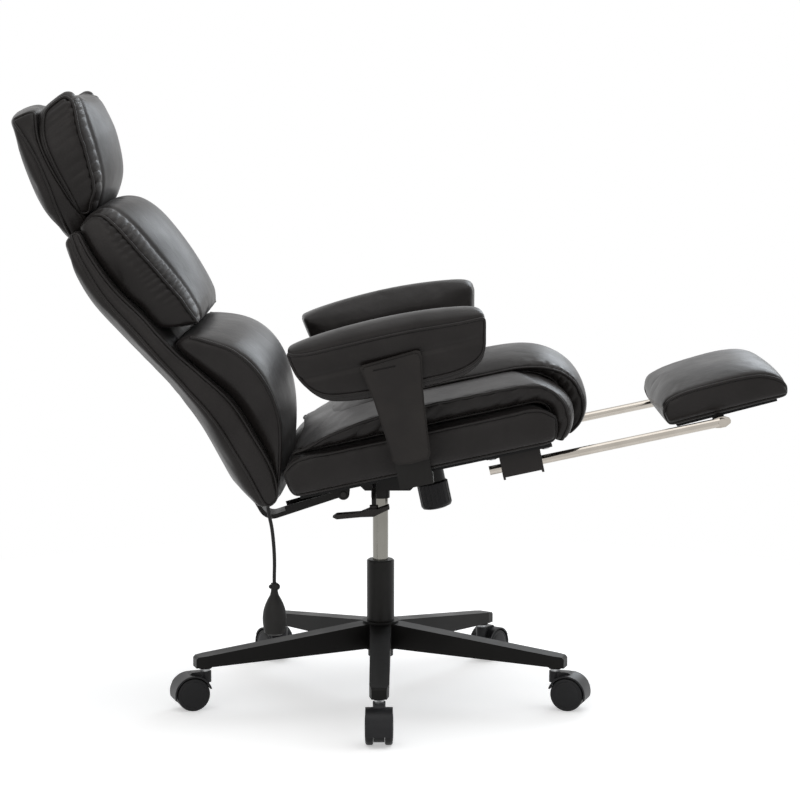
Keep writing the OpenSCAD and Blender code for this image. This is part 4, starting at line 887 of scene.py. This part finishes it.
def caster_trim():
    """Snap-on caps that close the wheels' faces, and the lip that carries each hood's
    fender on down to the axle."""
    cap_points, cap_faces = revolved([(0, 0), (0, 1.0), (9, 1.0), (17, 0.8), (22.5, 0.35),
                                      (25, -0.6), (25, -1.6), (0, -1.6), (0, 0)])
    for k in range(1, 6):
        a = math.radians(LEG_TURN * (k - 1) + FIRST_LEG)
        low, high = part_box(f"caster_wheels_{k}")
        centre = (np.array(low) + np.array(high)) / 2
        out = np.array([math.cos(a), math.sin(a), 0])
        axle = np.array([-math.sin(a), math.cos(a), 0])
        up = np.array([0, 0, 1.0])
        for side, name in ((-1, "a"), (1, "b")):
            frame_of = np.array([out * side, up, axle * side])
            points = (cap_points + [0, 0, WHEELS_OUT]) / 1000 @ frame_of + centre
            cap = new_piece(f"wheel_cap_{k}{name}", points, cap_faces, WHEEL_NYLON)
            closed_up(cap)
            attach(cap, f"wheels_{k}")
        t = np.radians(np.linspace(LIP_FROM, LIP_TO, 25))
        rows = []
        for r, w in ((LIP_INNER, LIP_SIDE), (LIP_OUTER, LIP_SIDE), (LIP_OUTER, -LIP_SIDE),
                     (LIP_INNER, -LIP_SIDE)):
            rows.append(np.outer(r * np.cos(t), out) + np.outer(r * np.sin(t), up) + w * axle)
        ring = np.stack(rows, 1)
        shut = np.concatenate([ring[:1].mean(1, keepdims=True).repeat(4, 1), ring,
                               ring[-1:].mean(1, keepdims=True).repeat(4, 1)])
        lip = new_piece(f"hood_lip_{k}", shut.reshape(-1, 3) / 1000 + centre,
                        grid_faces(len(shut), 4), HOOD_NYLON, False)
        closed_up(lip)
        lip.data.polygons.foreach_set("use_smooth", [False] * len(lip.data.polygons))
        edge = lip.modifiers.new("edge", "BEVEL")
        edge.width, edge.segments, edge.limit_method = 0.0006, 2, "ANGLE"
        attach(lip, f"caster_{k}")


caster_trim()


# ---------------------------------------------------------------- finishes of the kept parts
def dress_nodes():
    """Gives each CAD piece that stays its own finish, or that of its material slot."""
    black_paint = paint_finish("powder_coat_black", "#1c1b1a", "#262524")
    base_paint = paint_finish("powder_coat_base", "#0d0c0b", "#151413", 0.44)
    post_nylon = plastic_finish("moulded_nylon_post", "#221f1e", "#2b2826", 0.46)
    knob_plastic = plastic_finish("moulded_knob", "#0f0e10", "#171618", 0.40)
    bush_plastic = plastic_finish("acetal_bush", "#1a1a1b", "#242425", 0.4)
    bulb_rubber = plastic_finish("moulded_bulb_rubber", "#1f1e1d", "#2a2928", 0.5)
    chrome = metal_finish("chromed_rail", "#a29c93", "#c3bcb3", 0.10, 0.0006, 0)
    cylinder = metal_finish("ground_gas_cylinder", "#7c7a74", "#8f8d87", 0.15, 0.0006, 2)
    steel = metal_finish("zinc_plated_steel", "#8f9193", "#b6b7b8", 0.32, 0.0008, 0)
    black_oxide = metal_finish("black_oxide_pin", "#2b2a2a", "#383736", 0.38, 0.0008, 1)
    ply = ply_finish("birch_ply")
    cover = plastic_finish("spunbond_dust_cover", "#191919", "#222222", 0.75, 0.002)
    by_slot = {"black_paint": black_paint, "black_plastic": post_nylon,
               "wheel_plastic": WHEEL_NYLON, "knob_plastic": knob_plastic,
               "bush_plastic": bush_plastic, "black_rubber": bulb_rubber,
               "rail_chrome": chrome, "satin_cylinder": cylinder, "plain_steel": steel,
               "plywood": ply, "black_leather": SIDE_LEATHER}
    by_node = {"base_star": base_paint, "seat_board": cover, "footrest_board": cover,
               "recline_pin": black_oxide}
    slots = {part["node"]: part["material_slot"] for part in frame["record"]["subparts"]}
    for node, piece in NODES.items():
        finish = by_node.get(node) or by_slot.get(slots.get(node), black_paint)
        if node.startswith("caster_hood"):
            finish = HOOD_NYLON
        for socket in piece.material_slots:
            socket.material = finish


dress_nodes()


# ---------------------------------------------------------------- floor and sky
FLOOR_HALF = 14.0
WHITE_FROM, WHITE_ALL = 0.7, 1.6


def seen_rays(tree):
    """1 for the rays of the camera and those that metal, gloss or glass send on, else 0."""
    ray = add(tree, "ShaderNodeLightPath")
    first = add(tree, "ShaderNodeMath", {"operation": "MAXIMUM"},
                {0: ray.outputs["Is Camera Ray"], 1: ray.outputs["Is Glossy Ray"]})
    both = add(tree, "ShaderNodeMath", {"operation": "MAXIMUM"},
               {0: first.outputs[0], 1: ray.outputs["Is Transmission Ray"]})
    return both.outputs[0]


def studio():
    """A pale floor that shows white to the camera, all white beyond the chair's shadow, and
    a sky that is brightest behind and over the chair, as a white backdrop makes it."""
    finish, tree = new_finish("studio_floor")
    plain = add(tree, "ShaderNodeBsdfDiffuse", {"Color": tone("#f4f4f4")})
    glow = add(tree, "ShaderNodeEmission", {"Color": tone("#ffffff"), "Strength": 0.42})
    lit = add(tree, "ShaderNodeAddShader", {}, {0: plain.outputs[0], 1: glow.outputs[0]})
    white = add(tree, "ShaderNodeEmission", {"Color": tone("#ffffff"), "Strength": 1.0})
    reach = add(tree, "ShaderNodeVectorMath", {"operation": "LENGTH"}, {0: place_output(tree)})
    far = ranged(tree, reach.outputs["Value"], WHITE_FROM, WHITE_ALL, 0, 1)
    shown = add(tree, "ShaderNodeMixShader", {}, {0: far, 1: lit.outputs[0], 2: white.outputs[0]})
    both = add(tree, "ShaderNodeMixShader", {}, {0: seen_rays(tree), 1: plain.outputs[0],
                                                 2: shown.outputs[0]})
    add(tree, "ShaderNodeOutputMaterial", {}, {"Surface": both.outputs[0]})
    half = FLOOR_HALF
    floor = new_piece("studio_floor", [(-half, -half, 0), (half, -half, 0), (half, half, 0),
                                       (-half, half, 0)], [(0, 1, 2, 3)], finish, False)
    world = bpy.data.worlds.new("studio")
    world.use_nodes = True
    SCENE.world = world
    tree = world.node_tree
    tree.nodes.clear()
    way = add(tree, "ShaderNodeTexCoord").outputs["Generated"]
    lean = add(tree, "ShaderNodeVectorMath", {"operation": "DOT_PRODUCT",
                                              1: (0.25, 0.80, 0.55)}, {0: way})
    glow = ranged(tree, lean.outputs["Value"], -0.45, 0.55, 0.16, 0.85)
    soft = add(tree, "ShaderNodeBackground", {"Color": tone("#ffffff")}, {"Strength": glow})
    white = add(tree, "ShaderNodeBackground", {"Color": tone("#ffffff"), "Strength": 1.0})
    both = add(tree, "ShaderNodeMixShader", {}, {0: seen_rays(tree), 1: soft.outputs[0],
                                                 2: white.outputs[0]})
    add(tree, "ShaderNodeOutputWorld", {}, {"Surface": both.outputs[0]})


studio()
SCENE.view_settings.view_transform = "Standard"
